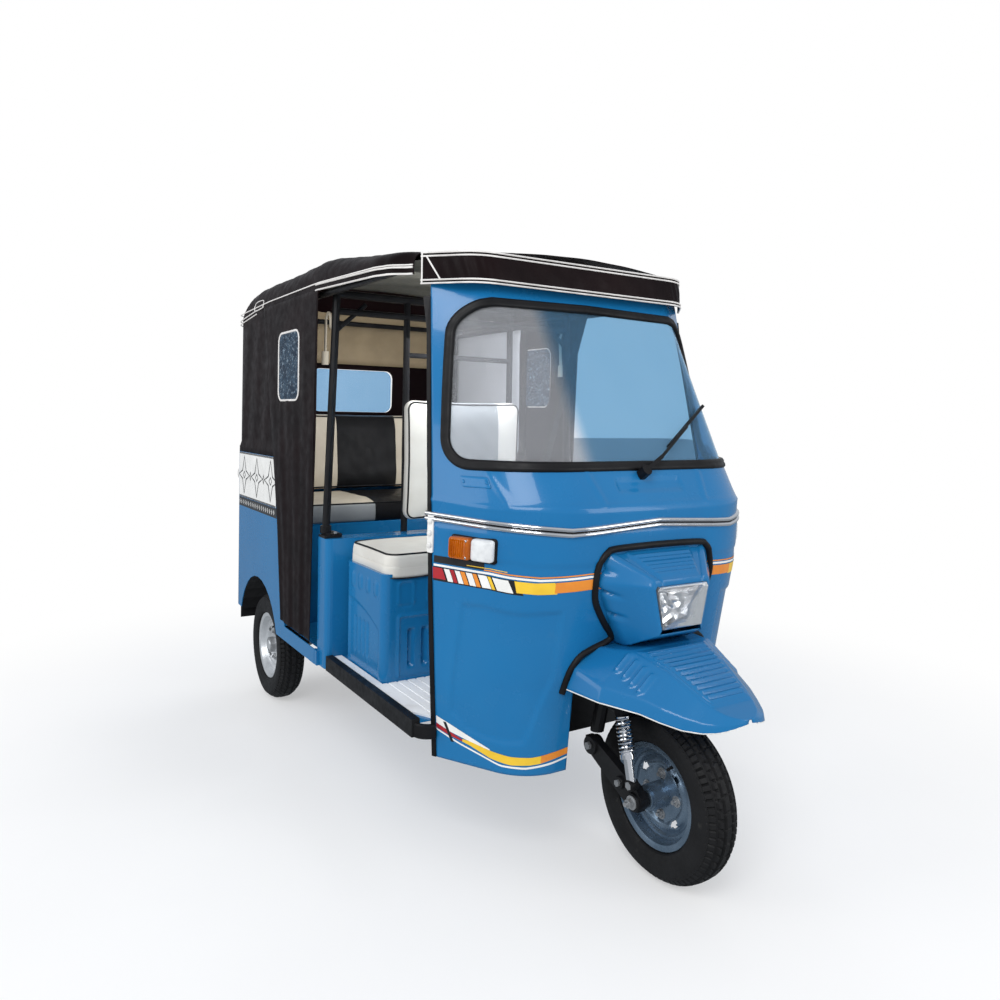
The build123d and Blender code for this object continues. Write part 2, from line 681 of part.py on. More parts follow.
for x, share in lamp_sections:
    lamp_rings.append([(x, y * share, lamp_middle_z + (z - lamp_middle_z) * share) for y, z in lamp_outline])
save("headlamp", ring_solid(lamp_rings))

guard_sections = [
    # x, low_z, low_half, shoulder_z, shoulder_half, top_z, top_half
    (-215, 540, 340, 578, 330, 668, 205),
    (0, 535, 245, 572, 236, 664, 142),
    (100, 527, 182, 560, 174, 628, 104),
    (200, 508, 118, 536, 112, 576, 70),
    (265, 512, 66, 528, 62, 550, 40),
    (305, 530, 24, 536, 22, 543, 16),
]
guard_outer = ring_solid([six_sided(*row) for row in guard_sections])
hollow_rows = []
for x, low_z, low_half, shoulder_z, shoulder_half, top_z, top_half in guard_sections[:-1]:
    hollow_rows.append((x, low_z - 60, low_half - 3, shoulder_z - 3, shoulder_half - 3, top_z - 3,
                        top_half - 2))
hollow_rows.append((296, 470, 26, 532, 24, 538, 18))
guard_hollow = ring_solid([six_sided(*row) for row in hollow_rows])
guard = guard_outer - guard_hollow - cowl_solid(-joint_gap, 0)
guard = guard - grown_nose(nacelle_sections, -joint_gap)
guard = guard.solids().sort_by(SortBy.VOLUME)[-1]


for x in range(64, 195, 15):
    guard = guard + top_rib(guard_sections, x, 0.88)
save("front_mudguard", guard)

# ---- indicators, wiper ------------------------------------------------------------------
indicator = cowl_solid(-28, -20) - cowl_solid(-joint_gap, 30)
indicator = indicator & block(front_axle_x - 315, front_axle_x - 205, -700, 0, 884, 954)
save("front_indicators", both(indicator))

# ---- wheels --------------------------------------------------------------------------------
half_width = tyre_width / 2
tyre_profile = [
    # offset across the tyre, radius
    (-38, bead_radius), (-38, bead_radius + 15), (-52, bead_radius + 20), (-half_width, bead_radius + 48),
                (-half_width + 2, tyre_radius - 36),
    (-half_width + 10, tyre_radius - 12), (-half_width + 22, tyre_radius - 3), (0, tyre_radius),
    (half_width - 22, tyre_radius - 3), (half_width - 10, tyre_radius - 12),
                (half_width - 2, tyre_radius - 36),
    (half_width, bead_radius + 48), (52, bead_radius + 20), (38, bead_radius + 15), (38, bead_radius),
]
rim_half = rim_width / 2
rim_profile = [
    # offset across the rim, radius
    (-rim_half, bead_radius + 14), (-38 - joint_gap, bead_radius + 14),
               (-38 - joint_gap, bead_radius - joint_gap),
    (38 + joint_gap, bead_radius - joint_gap), (38 + joint_gap, bead_radius + 14),
               (rim_half, bead_radius + 14),
    (rim_half - 2, bead_radius - 8), (14, bead_radius - 10), (8, 84), (26, 66), (26, hub_radius + joint_gap),
    (21, hub_radius + joint_gap), (21, 64), (2, 82), (-6, bead_radius - 10), (-rim_half + 2, bead_radius - 8),
]


def rim_at(x, y, face):
    """Steel wheel with four stud holes; face is the side its dished centre shows on."""
    wheel = turned([(face * offset, radius) for offset, radius in rim_profile], x, y)
    for quarter in range(4):
        turn = radians(45 + 90 * quarter)
        hole_x = x + 98 * cos(turn)
        hole_z = tyre_radius + 98 * sin(turn)
        wheel = wheel - rod((hole_x, y - 60, hole_z), (hole_x, y + 60, hole_z), 9)
    return wheel


wheels = [
    # name, x, y, outward side
    ("front", front_axle_x, 0.0, 1),
    ("rear_right", rear_axle_x, -rear_half_track, -1),
    ("rear_left", rear_axle_x, rear_half_track, 1),
]
for name, x, y, outward in wheels:
    save(f"{name}_tyre", turned(tyre_profile, x, y))
    save(f"{name}_rim", rim_at(x, y, outward))
    hub = turned([(-outward * 68, 0), (-outward * 68, 74), (-outward * 22, 74), (-outward * 18, hub_radius),
                  (outward * 40, hub_radius), (outward * 40, 0)], x, y, 20)
    save(f"{name}_hub", hub)

# ---- front leg, link and shock absorber --------------------------------------------------------
steer_slope = tan(radians(steer_rake))


def column_at(z):
    """Point of the steering axis at height z."""
    return (front_axle_x - steer_offset - (z - tyre_radius) * steer_slope, 0, z)


link_pivot = (front_axle_x - 185, -104, 327)
leg = rod(column_at(545), column_at(1030), 20) + ball(column_at(545), 24)
leg = leg + rod(column_at(545), (front_axle_x - 150, -104, 470), 22) + ball((front_axle_x - 150, -104, 470),
                                                                            22)
leg = leg + rod((front_axle_x - 150, -104, 470), link_pivot, 20)
shock_top = (front_axle_x - 48, -122, 470)
leg = leg + rod((front_axle_x - 150, -104, 470), shock_top, 13)
link_room = block(front_axle_x - 250, front_axle_x + 50, -180, -84, 150, 372)
leg_fork = leg - link_room
save("fork_leg", leg_fork)
link_side = side_shape([(link_pivot[0] - 26, 312), (front_axle_x - 20, 212), (front_axle_x + 18, 212),
                        (front_axle_x + 30, 250),
                        (front_axle_x + 8, 274), (link_pivot[0] + 6, 352), (link_pivot[0] - 26, 348)], -116,
                       -90)
save("front_link", link_side + rod((front_axle_x, -91, tyre_radius), (front_axle_x, -74, tyre_radius), 22))
shock_low = (front_axle_x + 10, -132, 290)
damper = rod(shock_low, shock_top, 12)
spring_low = Vector(front_axle_x + 4, -131, 310)
spring_high = Vector(front_axle_x - 34, -125, 428)
coils = 7
spring = damper
for k in range(coils):
    coil_low = spring_low + (spring_high - spring_low) * (k / coils)
    coil_high = spring_low + (spring_high - spring_low) * ((k + 0.55) / coils)
    spring = spring + rod(tuple(coil_low), tuple(coil_high), 26)
save("front_shock", spring & block(0, 2000, -200, -116.3, 276, 455))
handlebar_z = 1044.5
bar_x = column_at(handlebar_z)[0]
grips = rod((bar_x - 60, -310, handlebar_z - 10), (bar_x, -150, handlebar_z + 12), 13)
bar = rod((bar_x, -150, handlebar_z + 12), (bar_x, 150, handlebar_z + 12), 13)
save("handlebar", bar + both(grips).solids()[0] + both(grips).solids()[1])

# ---- rear suspension, engine, exhaust, lamps ------------------------------------------------------
arm_y = rear_half_track - 68 - 6
arm_pivot_x = rear_axle_x + 330
arm = side_shape([(arm_pivot_x, 330), (arm_pivot_x + 20, 360), (arm_pivot_x, 385), (rear_axle_x - 10, 285),
                  (rear_axle_x - 45, 235),
                  (rear_axle_x, 190), (rear_axle_x + 45, 210)], -arm_y, -arm_y + 34)
arm = arm + rod((arm_pivot_x - 2, -arm_y, 356), (arm_pivot_x - 2, -rail_half_y - 25 - joint_gap, 356), 22)
save("rear_arms", both(arm))
rear_shock = rod((rear_axle_x - 10, -arm_y + 61, 262), (rear_axle_x - 60, -arm_y + 68, 590), 24)
save("rear_shocks", both(rear_shock & block(-2000, 0, -700, -arm_y + 200, 250, 600)))
engine = block(rear_axle_x - 190, rear_axle_x + 150, -190, 190, 215, 560)
save("engine_block", engine)
muffler = rod((rear_axle_x - 250, -250, 270), (rear_axle_x - 250, 160, 270), 60)
save("exhaust", muffler)
lamp = block(rear_wall_x - 22, rear_wall_x - joint_gap, -500, -400, 600, 760)
save("rear_lamps", both(lamp))
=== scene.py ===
"""Looks of a three-wheeled auto rickshaw, built round its CAD frame. Metres, X forward, Y to the left, Z up."""
import json
import math

import bmesh
import bpy
import numpy as np
from mathutils import Matrix, Vector

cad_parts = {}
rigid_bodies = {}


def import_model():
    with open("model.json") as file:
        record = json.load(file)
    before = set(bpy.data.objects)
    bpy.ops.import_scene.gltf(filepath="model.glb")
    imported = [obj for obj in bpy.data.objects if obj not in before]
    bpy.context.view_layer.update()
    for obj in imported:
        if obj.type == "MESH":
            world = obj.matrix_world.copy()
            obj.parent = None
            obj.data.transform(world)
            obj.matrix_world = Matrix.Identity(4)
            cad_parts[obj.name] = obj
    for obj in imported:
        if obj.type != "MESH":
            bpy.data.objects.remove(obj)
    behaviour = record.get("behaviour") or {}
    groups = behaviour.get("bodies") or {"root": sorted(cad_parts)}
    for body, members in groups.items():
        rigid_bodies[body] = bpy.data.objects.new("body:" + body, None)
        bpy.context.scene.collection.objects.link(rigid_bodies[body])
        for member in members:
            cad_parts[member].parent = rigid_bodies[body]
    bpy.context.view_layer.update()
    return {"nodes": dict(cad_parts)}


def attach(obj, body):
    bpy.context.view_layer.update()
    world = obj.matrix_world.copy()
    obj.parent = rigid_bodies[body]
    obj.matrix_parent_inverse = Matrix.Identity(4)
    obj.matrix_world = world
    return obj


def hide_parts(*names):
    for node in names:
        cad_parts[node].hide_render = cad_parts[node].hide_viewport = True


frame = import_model()
nodes = frame["nodes"]

FX = 1.031            # front axle
RX = FX - 1.945       # rear axles
REAR = FX - 2.345     # rear wall
TRACK = 0.506         # half the distance between the rear wheels
AXLE_Z = 0.235        # wheel radius
HALF = 0.600          # half width of the rear body and the canopy
SIDES = ((-1, "right"), (1, "left"))
scene_root = bpy.context.scene.collection.objects

# ---------------------------------------------------------------- camera and light
CAMERA_PLACE = (FX + 1.6208, -1.6165, 1.2831)
YAW, PITCH, ROLL = math.radians(148.52), 0.02755, 0.01787
camera_data = bpy.data.cameras.new("camera")
camera_data.sensor_width = 36.0
camera_data.lens = 28.776
camera_data.shift_x = 0.01806
camera_data.shift_y = -0.06065
camera_data.clip_end = 100
camera = bpy.data.objects.new("camera", camera_data)
scene_root.link(camera)
ahead = Vector((math.cos(YAW) * math.cos(PITCH), math.sin(YAW) * math.cos(PITCH), -math.sin(PITCH)))
level_right = Vector((math.sin(YAW), -math.cos(YAW), 0))
level_up = level_right.cross(ahead)
right = level_right * math.cos(ROLL) + level_up * math.sin(ROLL)
up = level_up * math.cos(ROLL) - level_right * math.sin(ROLL)
camera.matrix_world = Matrix([(right[k], up[k], -ahead[k], CAMERA_PLACE[k]) for k in range(3)] + [(0, 0, 0, 1)])
bpy.context.scene.camera = camera


def shader_node(tree, kind, inputs=(), **settings):
    """New shader node. inputs gives each socket a value or the socket that feeds it."""
    node = tree.nodes.new("ShaderNode" + kind)
    for key, value in settings.items():
        setattr(node, key, value)
    for socket, value in dict(inputs).items():
        if isinstance(value, bpy.types.NodeSocket):
            tree.links.new(value, node.inputs[socket])
        else:
            node.inputs[socket].default_value = value
    return node


# Soft grey light for every ray but those of the camera and through glass, which see plain white.
world = bpy.data.worlds.new("studio")
bpy.context.scene.world = world
world.use_nodes = True
world.node_tree.nodes.clear()
ray_kind = shader_node(world.node_tree, "LightPath")
seen_directly = shader_node(world.node_tree, "Math", {0: ray_kind.outputs["Is Camera Ray"],
                                                      1: ray_kind.outputs["Is Transmission Ray"]}, operation="MAXIMUM")
soft_light = shader_node(world.node_tree, "Background", {0: (0.90, 0.94, 1.0, 1), 1: 0.62})
white_back = shader_node(world.node_tree, "Background", {0: (1, 1, 1, 1), 1: 1.0})
world_mix = shader_node(world.node_tree, "MixShader", {0: seen_directly.outputs[0], 1: soft_light.outputs[0],
                                                       2: white_back.outputs[0]})
shader_node(world.node_tree, "OutputWorld", {0: world_mix.outputs[0]})

AREA_LIGHTS = [  # name, place, aim, size, power
    ("key", (3.6, -3.4, 4.2), (0.6, 0, 0.9), (2.6, 2.6), 150),
    ("front_fill", (5.2, 2.6, 2.4), (0.9, 0, 0.8), (2.4, 3.0), 70),
    ("side_fill", (-1.2, -5.0, 2.2), (-0.6, 0, 0.8), (3.4, 2.4), 56),
    ("back_top", (-3.6, 2.8, 4.2), (-0.4, 0, 1.0), (3.0, 3.0), 70),
    ("cabin", (-0.25, 0, 1.70), (-1.0, 0, 1.1), (0.5, 0.8), 9),
    ("driver_room", (0.35, 0.1, 1.60), (-0.3, 0.1, 1.1), (0.3, 0.6), 4),
]
for name, place, target, size, power in AREA_LIGHTS:
    light = bpy.data.lights.new(name, "AREA")
    light.shape = "RECTANGLE"
    light.size, light.size_y = size
    light.energy = power
    lamp = bpy.data.objects.new(name, light)
    scene_root.link(lamp)
    lamp.location = place
    lamp.rotation_euler = (Vector(target) - Vector(place)).to_track_quat("-Z", "Y").to_euler()
    if name in ("cabin", "driver_room"):
        lamp.visible_camera = lamp.visible_glossy = lamp.visible_transmission = False

# ---------------------------------------------------------------- materials
materials = {}


def surface(name, slot, colour, other, scale, rough, bump=(200.0, 0.0), metallic=0.0, spot=None, **sockets):
    """Principled material whose colour, roughness and bump come from noise in object space.

    bump is its scale and strength, and spot adds small stains: (scale, threshold, colour, strength).
    """
    mat = bpy.data.materials.new(name)
    mat.use_nodes = True
    tree = mat.node_tree
    shader = tree.nodes["Principled BSDF"]
    place = shader_node(tree, "TexCoord").outputs["Object"]

    def noise(noise_scale, detail):
        return shader_node(tree, "TexNoise", {"Vector": place, "Scale": noise_scale, "Detail": detail}).outputs["Fac"]

    ramp = shader_node(tree, "ValToRGB", {0: noise(scale, 4)})
    for element, position, shade in zip(ramp.color_ramp.elements, (0.35, 0.68), (other, colour)):
        element.position = position
        element.color = (*shade, 1)
    tone = ramp.outputs[0]
    if spot:
        stain = shader_node(tree, "MapRange", {0: noise(spot[0], 8), 1: spot[1], 2: spot[1] + 0.1, 4: spot[3]})
        tone = shader_node(tree, "MixRGB", {0: stain.outputs[0], 1: tone, 2: (*spot[2], 1)}).outputs[0]
    worn = shader_node(tree, "MapRange", {0: noise(scale * 5, 5), 1: 0.3, 2: 0.7, 3: rough[0], 4: rough[1]})
    tree.links.new(tone, shader.inputs["Base Color"])
    tree.links.new(worn.outputs[0], shader.inputs["Roughness"])
    if bump[1] > 0:
        raised = shader_node(tree, "Bump", {"Strength": bump[1], "Distance": 0.001, "Height": noise(bump[0], 6)})
        tree.links.new(raised.outputs[0], shader.inputs["Normal"])
    shader.inputs["Metallic"].default_value = metallic
    for socket, value in sockets.items():
        shader.inputs[socket.replace("_", " ")].default_value = value
    materials[name] = mat
    return tree


surface("paint", "body_blue", (0.010, 0.155, 0.370), (0.008, 0.140, 0.345), 2.5, (0.2, 0.3), (90, 0.02),
        spot=(14, 0.66, (0.06, 0.17, 0.28), 0.12), Specular_IOR_Level=0.2, Coat_Weight=0.35, Coat_Roughness=0.05)
surface("cloth", "canopy_cloth", (0.0095, 0.0042, 0.0048), (0.0048, 0.0022, 0.0027), 5, (0.38, 0.55), (900, 0.2),
        Specular_IOR_Level=0.07)
surface("piping", "canopy_cloth", (0.78, 0.76, 0.74), (0.66, 0.64, 0.62), 18, (0.4, 0.6), (700, 0.15))
surface("rubber", "black_rubber", (0.010, 0.010, 0.011), (0.005, 0.005, 0.006), 10, (0.38, 0.6), (600, 0.2),
        Specular_IOR_Level=0.2)
surface("steel_black", "black_steel", (0.010, 0.010, 0.011), (0.005, 0.005, 0.006), 12, (0.3, 0.5), (300, 0.1),
        spot=(40, 0.68, (0.06, 0.045, 0.03), 0.3), Specular_IOR_Level=0.3)
surface("chrome", "chrome", (0.80, 0.81, 0.83), (0.68, 0.69, 0.71), 8, (0.07, 0.16), metallic=1.0)
for name, colour, other in (("white_vinyl", (0.70, 0.69, 0.64), (0.62, 0.60, 0.55)),
                            ("cream_vinyl", (0.62, 0.56, 0.45), (0.54, 0.48, 0.38)),
                            ("grey_vinyl", (0.28, 0.30, 0.31), (0.22, 0.24, 0.25))):
    surface(name, "white_vinyl", colour, other, 7, (0.42, 0.58), (420, 0.22))
surface("black_vinyl", "white_vinyl", (0.012, 0.012, 0.013), (0.007, 0.007, 0.008), 7, (0.34, 0.5), (420, 0.22),
        Specular_IOR_Level=0.25)
surface("mat_white", "white_mat", (0.90, 0.91, 0.92), (0.82, 0.83, 0.84), 6, (0.5, 0.7), (200, 0.2),
        spot=(9, 0.6, (0.6, 0.58, 0.54), 0.35))
surface("tyre", "tyre", (0.010, 0.010, 0.011), (0.006, 0.006, 0.0065), 14, (0.5, 0.7), (500, 0.3),
        spot=(30, 0.64, (0.05, 0.048, 0.043), 0.3), Specular_IOR_Level=0.25)
surface("rim", "rim_paint", (0.20, 0.27, 0.35), (0.13, 0.19, 0.26), 12, (0.22, 0.36), (300, 0.05), metallic=0.75)
surface("rim_silver", "rim_paint", (0.70, 0.72, 0.74), (0.56, 0.58, 0.60), 12, (0.28, 0.42), (300, 0.05), metallic=0.6)
surface("alloy", "cast_alloy", (0.45, 0.46, 0.47), (0.34, 0.35, 0.36), 15, (0.4, 0.55), (260, 0.3), metallic=0.8)
surface("amber", "amber_lens", (0.62, 0.16, 0.004), (0.46, 0.10, 0.003), 30, (0.12, 0.2), (120, 0.1),
        Transmission_Weight=0.2)
surface("red_lens", "red_lens", (0.45, 0.008, 0.008), (0.34, 0.005, 0.005), 30, (0.12, 0.2), (120, 0.1),
        Transmission_Weight=0.2)
surface("clear_lens", "clear_lens", (0.88, 0.90, 0.92), (0.80, 0.82, 0.84), 60, (0.04, 0.10), (120, 0.15),
        Transmission_Weight=0.88, IOR=1.3)
surface("small_lens", "clear_lens", (0.86, 0.88, 0.89), (0.70, 0.72, 0.74), 45, (0.08, 0.16), (160, 0.5),
        Transmission_Weight=0.15)
for name, colour, other in (("lining", (0.34, 0.265, 0.165), (0.27, 0.21, 0.13)),
                            # Partly the lining's own colour, partly painted reflection: the beige lining is lightened
                            # to the pale blue-grey that the windscreen's reflection lays over it.
                            ("pale_lining", (0.74, 0.76, 0.80), (0.64, 0.66, 0.70)),
                            # Painted shade: the roof's lining is cream, coloured here in the dark grey of its shade.
                            ("roof_cloth", (0.15, 0.15, 0.13), (0.11, 0.11, 0.095))):
    surface(name, "canopy_cloth", colour, other, 7, (0.6, 0.8), (600, 0.2))
glass_tree = surface("glass", "glass", (0.24, 0.45, 0.65), (0.22, 0.43, 0.63), 3, (0.02, 0.04),
                     Transmission_Weight=0.86, IOR=1.10)
surface("clear_sheet", "glass", (0.30, 0.52, 0.76), (0.27, 0.49, 0.73), 5, (0.04, 0.10), (40, 0.2),
        Transmission_Weight=0.86, IOR=1.1)
surface("mottled_sheet", "glass", (0.07, 0.13, 0.20), (0.020, 0.045, 0.085), 26, (0.15, 0.35), (60, 0.5),
        spot=(75, 0.56, (0.42, 0.55, 0.66), 0.8), Transmission_Weight=0.55, IOR=1.1)
for name, colour, other in (("tape_white", (0.82, 0.82, 0.80), (0.74, 0.74, 0.72)),
                            ("tape_red", (0.42, 0.012, 0.020), (0.34, 0.010, 0.016)),
                            ("tape_yellow", (0.85, 0.55, 0.03), (0.76, 0.48, 0.02)),
                            ("tape_orange", (0.78, 0.26, 0.02), (0.70, 0.22, 0.02)),
                            ("tape_black", (0.012, 0.012, 0.014), (0.008, 0.008, 0.010))):
    surface(name, "body_blue", colour, other, 20, (0.3, 0.42))

# The windscreen is clear on its right third and light blue across the rest.
glass_shader = glass_tree.nodes["Principled BSDF"]
glass_axes = shader_node(glass_tree, "SeparateXYZ", {0: shader_node(glass_tree, "TexCoord").outputs["Object"]})
tint = shader_node(glass_tree, "MapRange", {0: glass_axes.outputs["Y"], 1: -0.230, 2: -0.150},
                   interpolation_type="SMOOTHSTEP")
tinted = shader_node(glass_tree, "MixRGB", {0: tint.outputs[0], 1: (0.80, 0.82, 0.86, 1),
                                            2: glass_shader.inputs["Base Color"].links[0].from_socket})
glass_tree.links.new(tinted.outputs[0], glass_shader.inputs["Base Color"])

CAD_LOOKS = {
    "paint": "floor_pan bulkhead rear_body driver_seat_box rear_seat_base front_cowl nose_nacelle front_mudguard",
    "steel_black": "wheel_arch chassis_frame roof_frame rear_arms rear_shocks exhaust fork_leg front_link handlebar",
    "rubber": "windscreen_seal door_edge_rubbers rear_wheel_housings mud_flaps",
    "cloth": "visor canopy side_curtains",
    "white_vinyl": "driver_backrest driver_seat_cushion",
    "cream_vinyl": "rear_seat_back rear_seat_cushion",
    "tyre": "front_tyre rear_right_tyre rear_left_tyre",
    "rim": "front_rim",
    "rim_silver": "rear_right_rim rear_left_rim",
    "alloy": "engine_block front_hub rear_right_hub rear_left_hub",
    "chrome": "cowl_band front_shock",
    "glass": "windscreen",
    "clear_sheet": "rear_window",
    "mottled_sheet": "curtain_windows",
    "clear_lens": "headlamp",
    "amber": "front_indicators",
    "red_lens": "rear_lamps",
    "mat_white": "floor_mat",
}
for look, node_names in CAD_LOOKS.items():
    for node_name in node_names.split():
        nodes[node_name].data.materials.clear()
        nodes[node_name].data.materials.append(materials[look])


# ---------------------------------------------------------------- mesh helpers
def piece(name, verts, faces, look, body="body", smooth=35, stands_for=()):
    """A mesh piece that rides on a body."""
    mesh = bpy.data.meshes.new(name)
    mesh.from_pydata([tuple(v) for v in verts], [], [tuple(f) for f in faces])
    mesh.validate()
    return dress(name, mesh, look, body, smooth, stands_for)


def dress(name, mesh, look, body="body", smooth=35, stands_for=()):
    """Puts a mesh in the scene with its looks, body and the nodes that it stands for."""
    obj = bpy.data.objects.new(name, mesh)
    scene_root.link(obj)
    looks = look if isinstance(look, (list, tuple)) else [look]
    for one in looks:
        mesh.materials.append(materials[one])
    mesh.shade_smooth()
    mesh.set_sharp_from_angle(angle=math.radians(smooth))
    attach(obj, body)
    if stands_for:
        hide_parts(*stands_for)
    return obj


def thicken(obj, thickness, offset=-1.0):
    """Gives a sheet its thickness."""
    mod = obj.modifiers.new("solidify", "SOLIDIFY")
    mod.thickness = thickness
    mod.offset = offset
    return obj


def grid_faces(rows, columns, wrap_rows=False, wrap_columns=False):
    """Quads over a grid of points stored row by row."""
    faces = []
    for r in range(rows if wrap_rows else rows - 1):
        for c in range(columns if wrap_columns else columns - 1):
            r2 = (r + 1) % rows
            c2 = (c + 1) % columns
            faces.append((r * columns + c, r * columns + c2, r2 * columns + c2, r2 * columns + c))
    return faces


def grid_mesh(rows, **wrap):
    """Vertices and quads of a grid of points."""
    grid = np.array(rows)
    return grid.reshape(-1, 3).tolist(), grid_faces(*grid.shape[:2], **wrap)


def end_caps(rings, sides):
    """Faces that close a tube's two ends."""
    return [tuple(range(sides))[::-1], tuple(range((rings - 1) * sides, rings * sides))]


def editable(name, points, faces):
    """A new mesh and an open copy of it that can be cut."""
    mesh = bpy.data.meshes.new(name)
    mesh.from_pydata(points, [], faces)
    bm = bmesh.new()
    bm.from_mesh(mesh)
    return mesh, bm


def cut_plane(bm, near, place, way):
    """Cuts the faces that near picks by their middle along a plane."""
    faces = [f for f in bm.faces if near(f.calc_center_median())]
    edges = dict.fromkeys(e for f in faces for e in f.edges)
    corners = dict.fromkeys(v for f in faces for v in f.verts)
    bmesh.ops.bisect_plane(bm, geom=[*faces, *edges, *corners], plane_co=place, plane_no=way, dist=1e-6)


def drop_faces(bm, inside):
    """Deletes the faces that inside picks by their middle."""
    bmesh.ops.delete(bm, geom=[f for f in bm.faces if inside(f.calc_center_median())], context="FACES")


def drop_loose(bm):
    """Deletes the vertices that no face uses."""
    bmesh.ops.delete(bm, geom=[v for v in bm.verts if not v.link_faces], context="VERTS")


def closed_mesh(mesh, bm):
    """Writes the cut copy back and gives its area."""
    bmesh.ops.recalc_face_normals(bm, faces=bm.faces)
    area = sum(f.calc_area() for f in bm.faces)
    bm.to_mesh(mesh)
    bm.free()
    return area


def smooth_line(points, step=0.02):
    """Points along a smooth line through a few given ones."""
    points = [Vector(p) for p in points]
    line = []
    for i in range(len(points) - 1):
        a = points[max(i - 1, 0)]
        b = points[i]
        c = points[i + 1]
        d = points[min(i + 2, len(points) - 1)]
        count = max(2, int((c - b).length / step))
        for k in range(count):
            t = k / count
            line.append(0.5 * ((2 * b) + (c - a) * t + (2 * a - 5 * b + 4 * c - d) * t * t
                               + (3 * b - a - 3 * c + d) * t * t * t))
    line.append(points[-1])
    return line


def tube_mesh(line, radius, sides=8, closed=False, flat=1.0, normal=None):
    """Vertices and faces of a round tube along a line of points. flat squeezes it along its normal."""
    line = [Vector(p) for p in line]
    count = len(line)
    verts = []
    across = normal or Vector((0, 0, 1))
    for i, p in enumerate(line):
        before = line[i - 1] if i or closed else p
        after = line[(i + 1) % count] if i < count - 1 or closed else p
        way = (after - before).normalized()
        side = way.cross(across)
        if side.length < 0.1:
            side = way.cross(Vector((1, 0, 0)))
        side.normalize()
        upward = side.cross(way).normalized()
        if not normal:
            across = upward
        for k in range(sides):
            angle = 2 * math.pi * k / sides
            verts.append(p + side * math.cos(angle) * radius + upward * math.sin(angle) * radius * flat)
    faces = grid_faces(count, sides, wrap_rows=closed, wrap_columns=True)
    return verts, (faces if closed else faces + end_caps(count, sides))


def tube(name, line, radius, look, body="body", sides=8, closed=False):
    """A round tube as a piece of its own."""
    return piece(name, *tube_mesh(line, radius, sides, closed), look, body, 60)


def merged(name, parts, look, body="body", smooth=40, stands_for=()):
    """One piece made of several (verts, faces) lists."""
    verts, faces = [], []
    for part_verts, part_faces in parts:
        start = len(verts)
        verts.extend(part_verts)
        faces.extend([tuple(i + start for i in face) for face in part_faces])
    return piece(name, verts, faces, look, body, smooth, stands_for)


def lathe(profile, centre, steps=64):
    """Turned form about a cross axle through centre. Profile points are (y, radius)."""
    verts = []
    for k in range(steps):
        angle = 2 * math.pi * k / steps
        for y, radius in profile:
            verts.append((centre[0] + radius * math.sin(angle), centre[1] + y, centre[2] + radius * math.cos(angle)))
    return verts, grid_faces(steps, len(profile), wrap_rows=True)


def bar(a, b, size, roundness=0.25, up=(0, 0, 1)):
    """A chamfered rectangular bar from a to b. Size is (width, height)."""
    a = Vector(a)
    b = Vector(b)
    way = (b - a).normalized()
    side = way.cross(Vector(up)).normalized()
    top = side.cross(way).normalized()
    w, h = size[0] / 2, size[1] / 2
    c = min(w, h) * roundness
    ring = [(-w, -h + c), (-w, h - c), (-w + c, h), (w - c, h), (w, h - c), (w, -h + c), (w - c, -h), (-w + c, -h)]
    verts = [p + side * x + top * y for p in (a, b) for x, y in ring]
    return verts, grid_faces(2, 8, wrap_columns=True) + end_caps(2, 8)


# ---------------------------------------------------------------- cowl surface
COWL = [
    # z, door edge x, door edge half width, nose x, nose half width, corner radius
    (0.292, -0.405, 0.512, -0.150, 0.372, 0.165),
    (0.530, -0.400, 0.526, -0.124, 0.386, 0.225),
    (0.840, -0.396, 0.541, -0.057, 0.417, 0.285),
    (1.035, -0.396, 0.547, -0.043, 0.416, 0.300),
    (1.140, -0.410, 0.541, -0.114, 0.400, 0.265),
    (1.640, -0.500, 0.505, -0.398, 0.368, 0.140),
    (1.712, -0.513, 0.500, -0.438, 0.362, 0.115),
]


def plan_points(row, q, out):
    """Points of one section's half outline: q 0-1 is the nose, 1-2 the corner and 2-3 the side."""
    z, edge_x, edge_y, nose_x, nose_y, radius = row
    edge = np.array([FX + edge_x, edge_y + out])
    corner = np.array([FX + nose_x + out, nose_y + out])
    radius = radius + out
    back = (edge - corner) / np.linalg.norm(edge - corner)
    across = np.array([0.0, -1.0])
    opening = math.acos(float(back @ across))
    run = radius / math.tan(opening / 2)
    bisector = (back + across) / np.linalg.norm(back + across)
    centre = corner + bisector * radius / math.sin(opening / 2)
    start = corner + across * run
    end = corner + back * run
    a0 = math.atan2(*(start - centre)[::-1])
    a1 = math.atan2(*(end - centre)[::-1])
    q = np.asarray(q, float)
    nose = np.stack([np.full_like(q, start[0]), start[1] * q], -1)
    angle = a0 + (a1 - a0) * (q - 1)
    arc = centre + radius * np.stack([np.cos(angle), np.sin(angle)], -1)
    side = end + (edge - end) * (q - 2)[..., None]
    points = np.where((q <= 1)[..., None], nose, np.where((q <= 2)[..., None], arc, side))
    lengths = np.array([start[1], radius * abs(a1 - a0), np.linalg.norm(edge - end)])
    return points, lengths


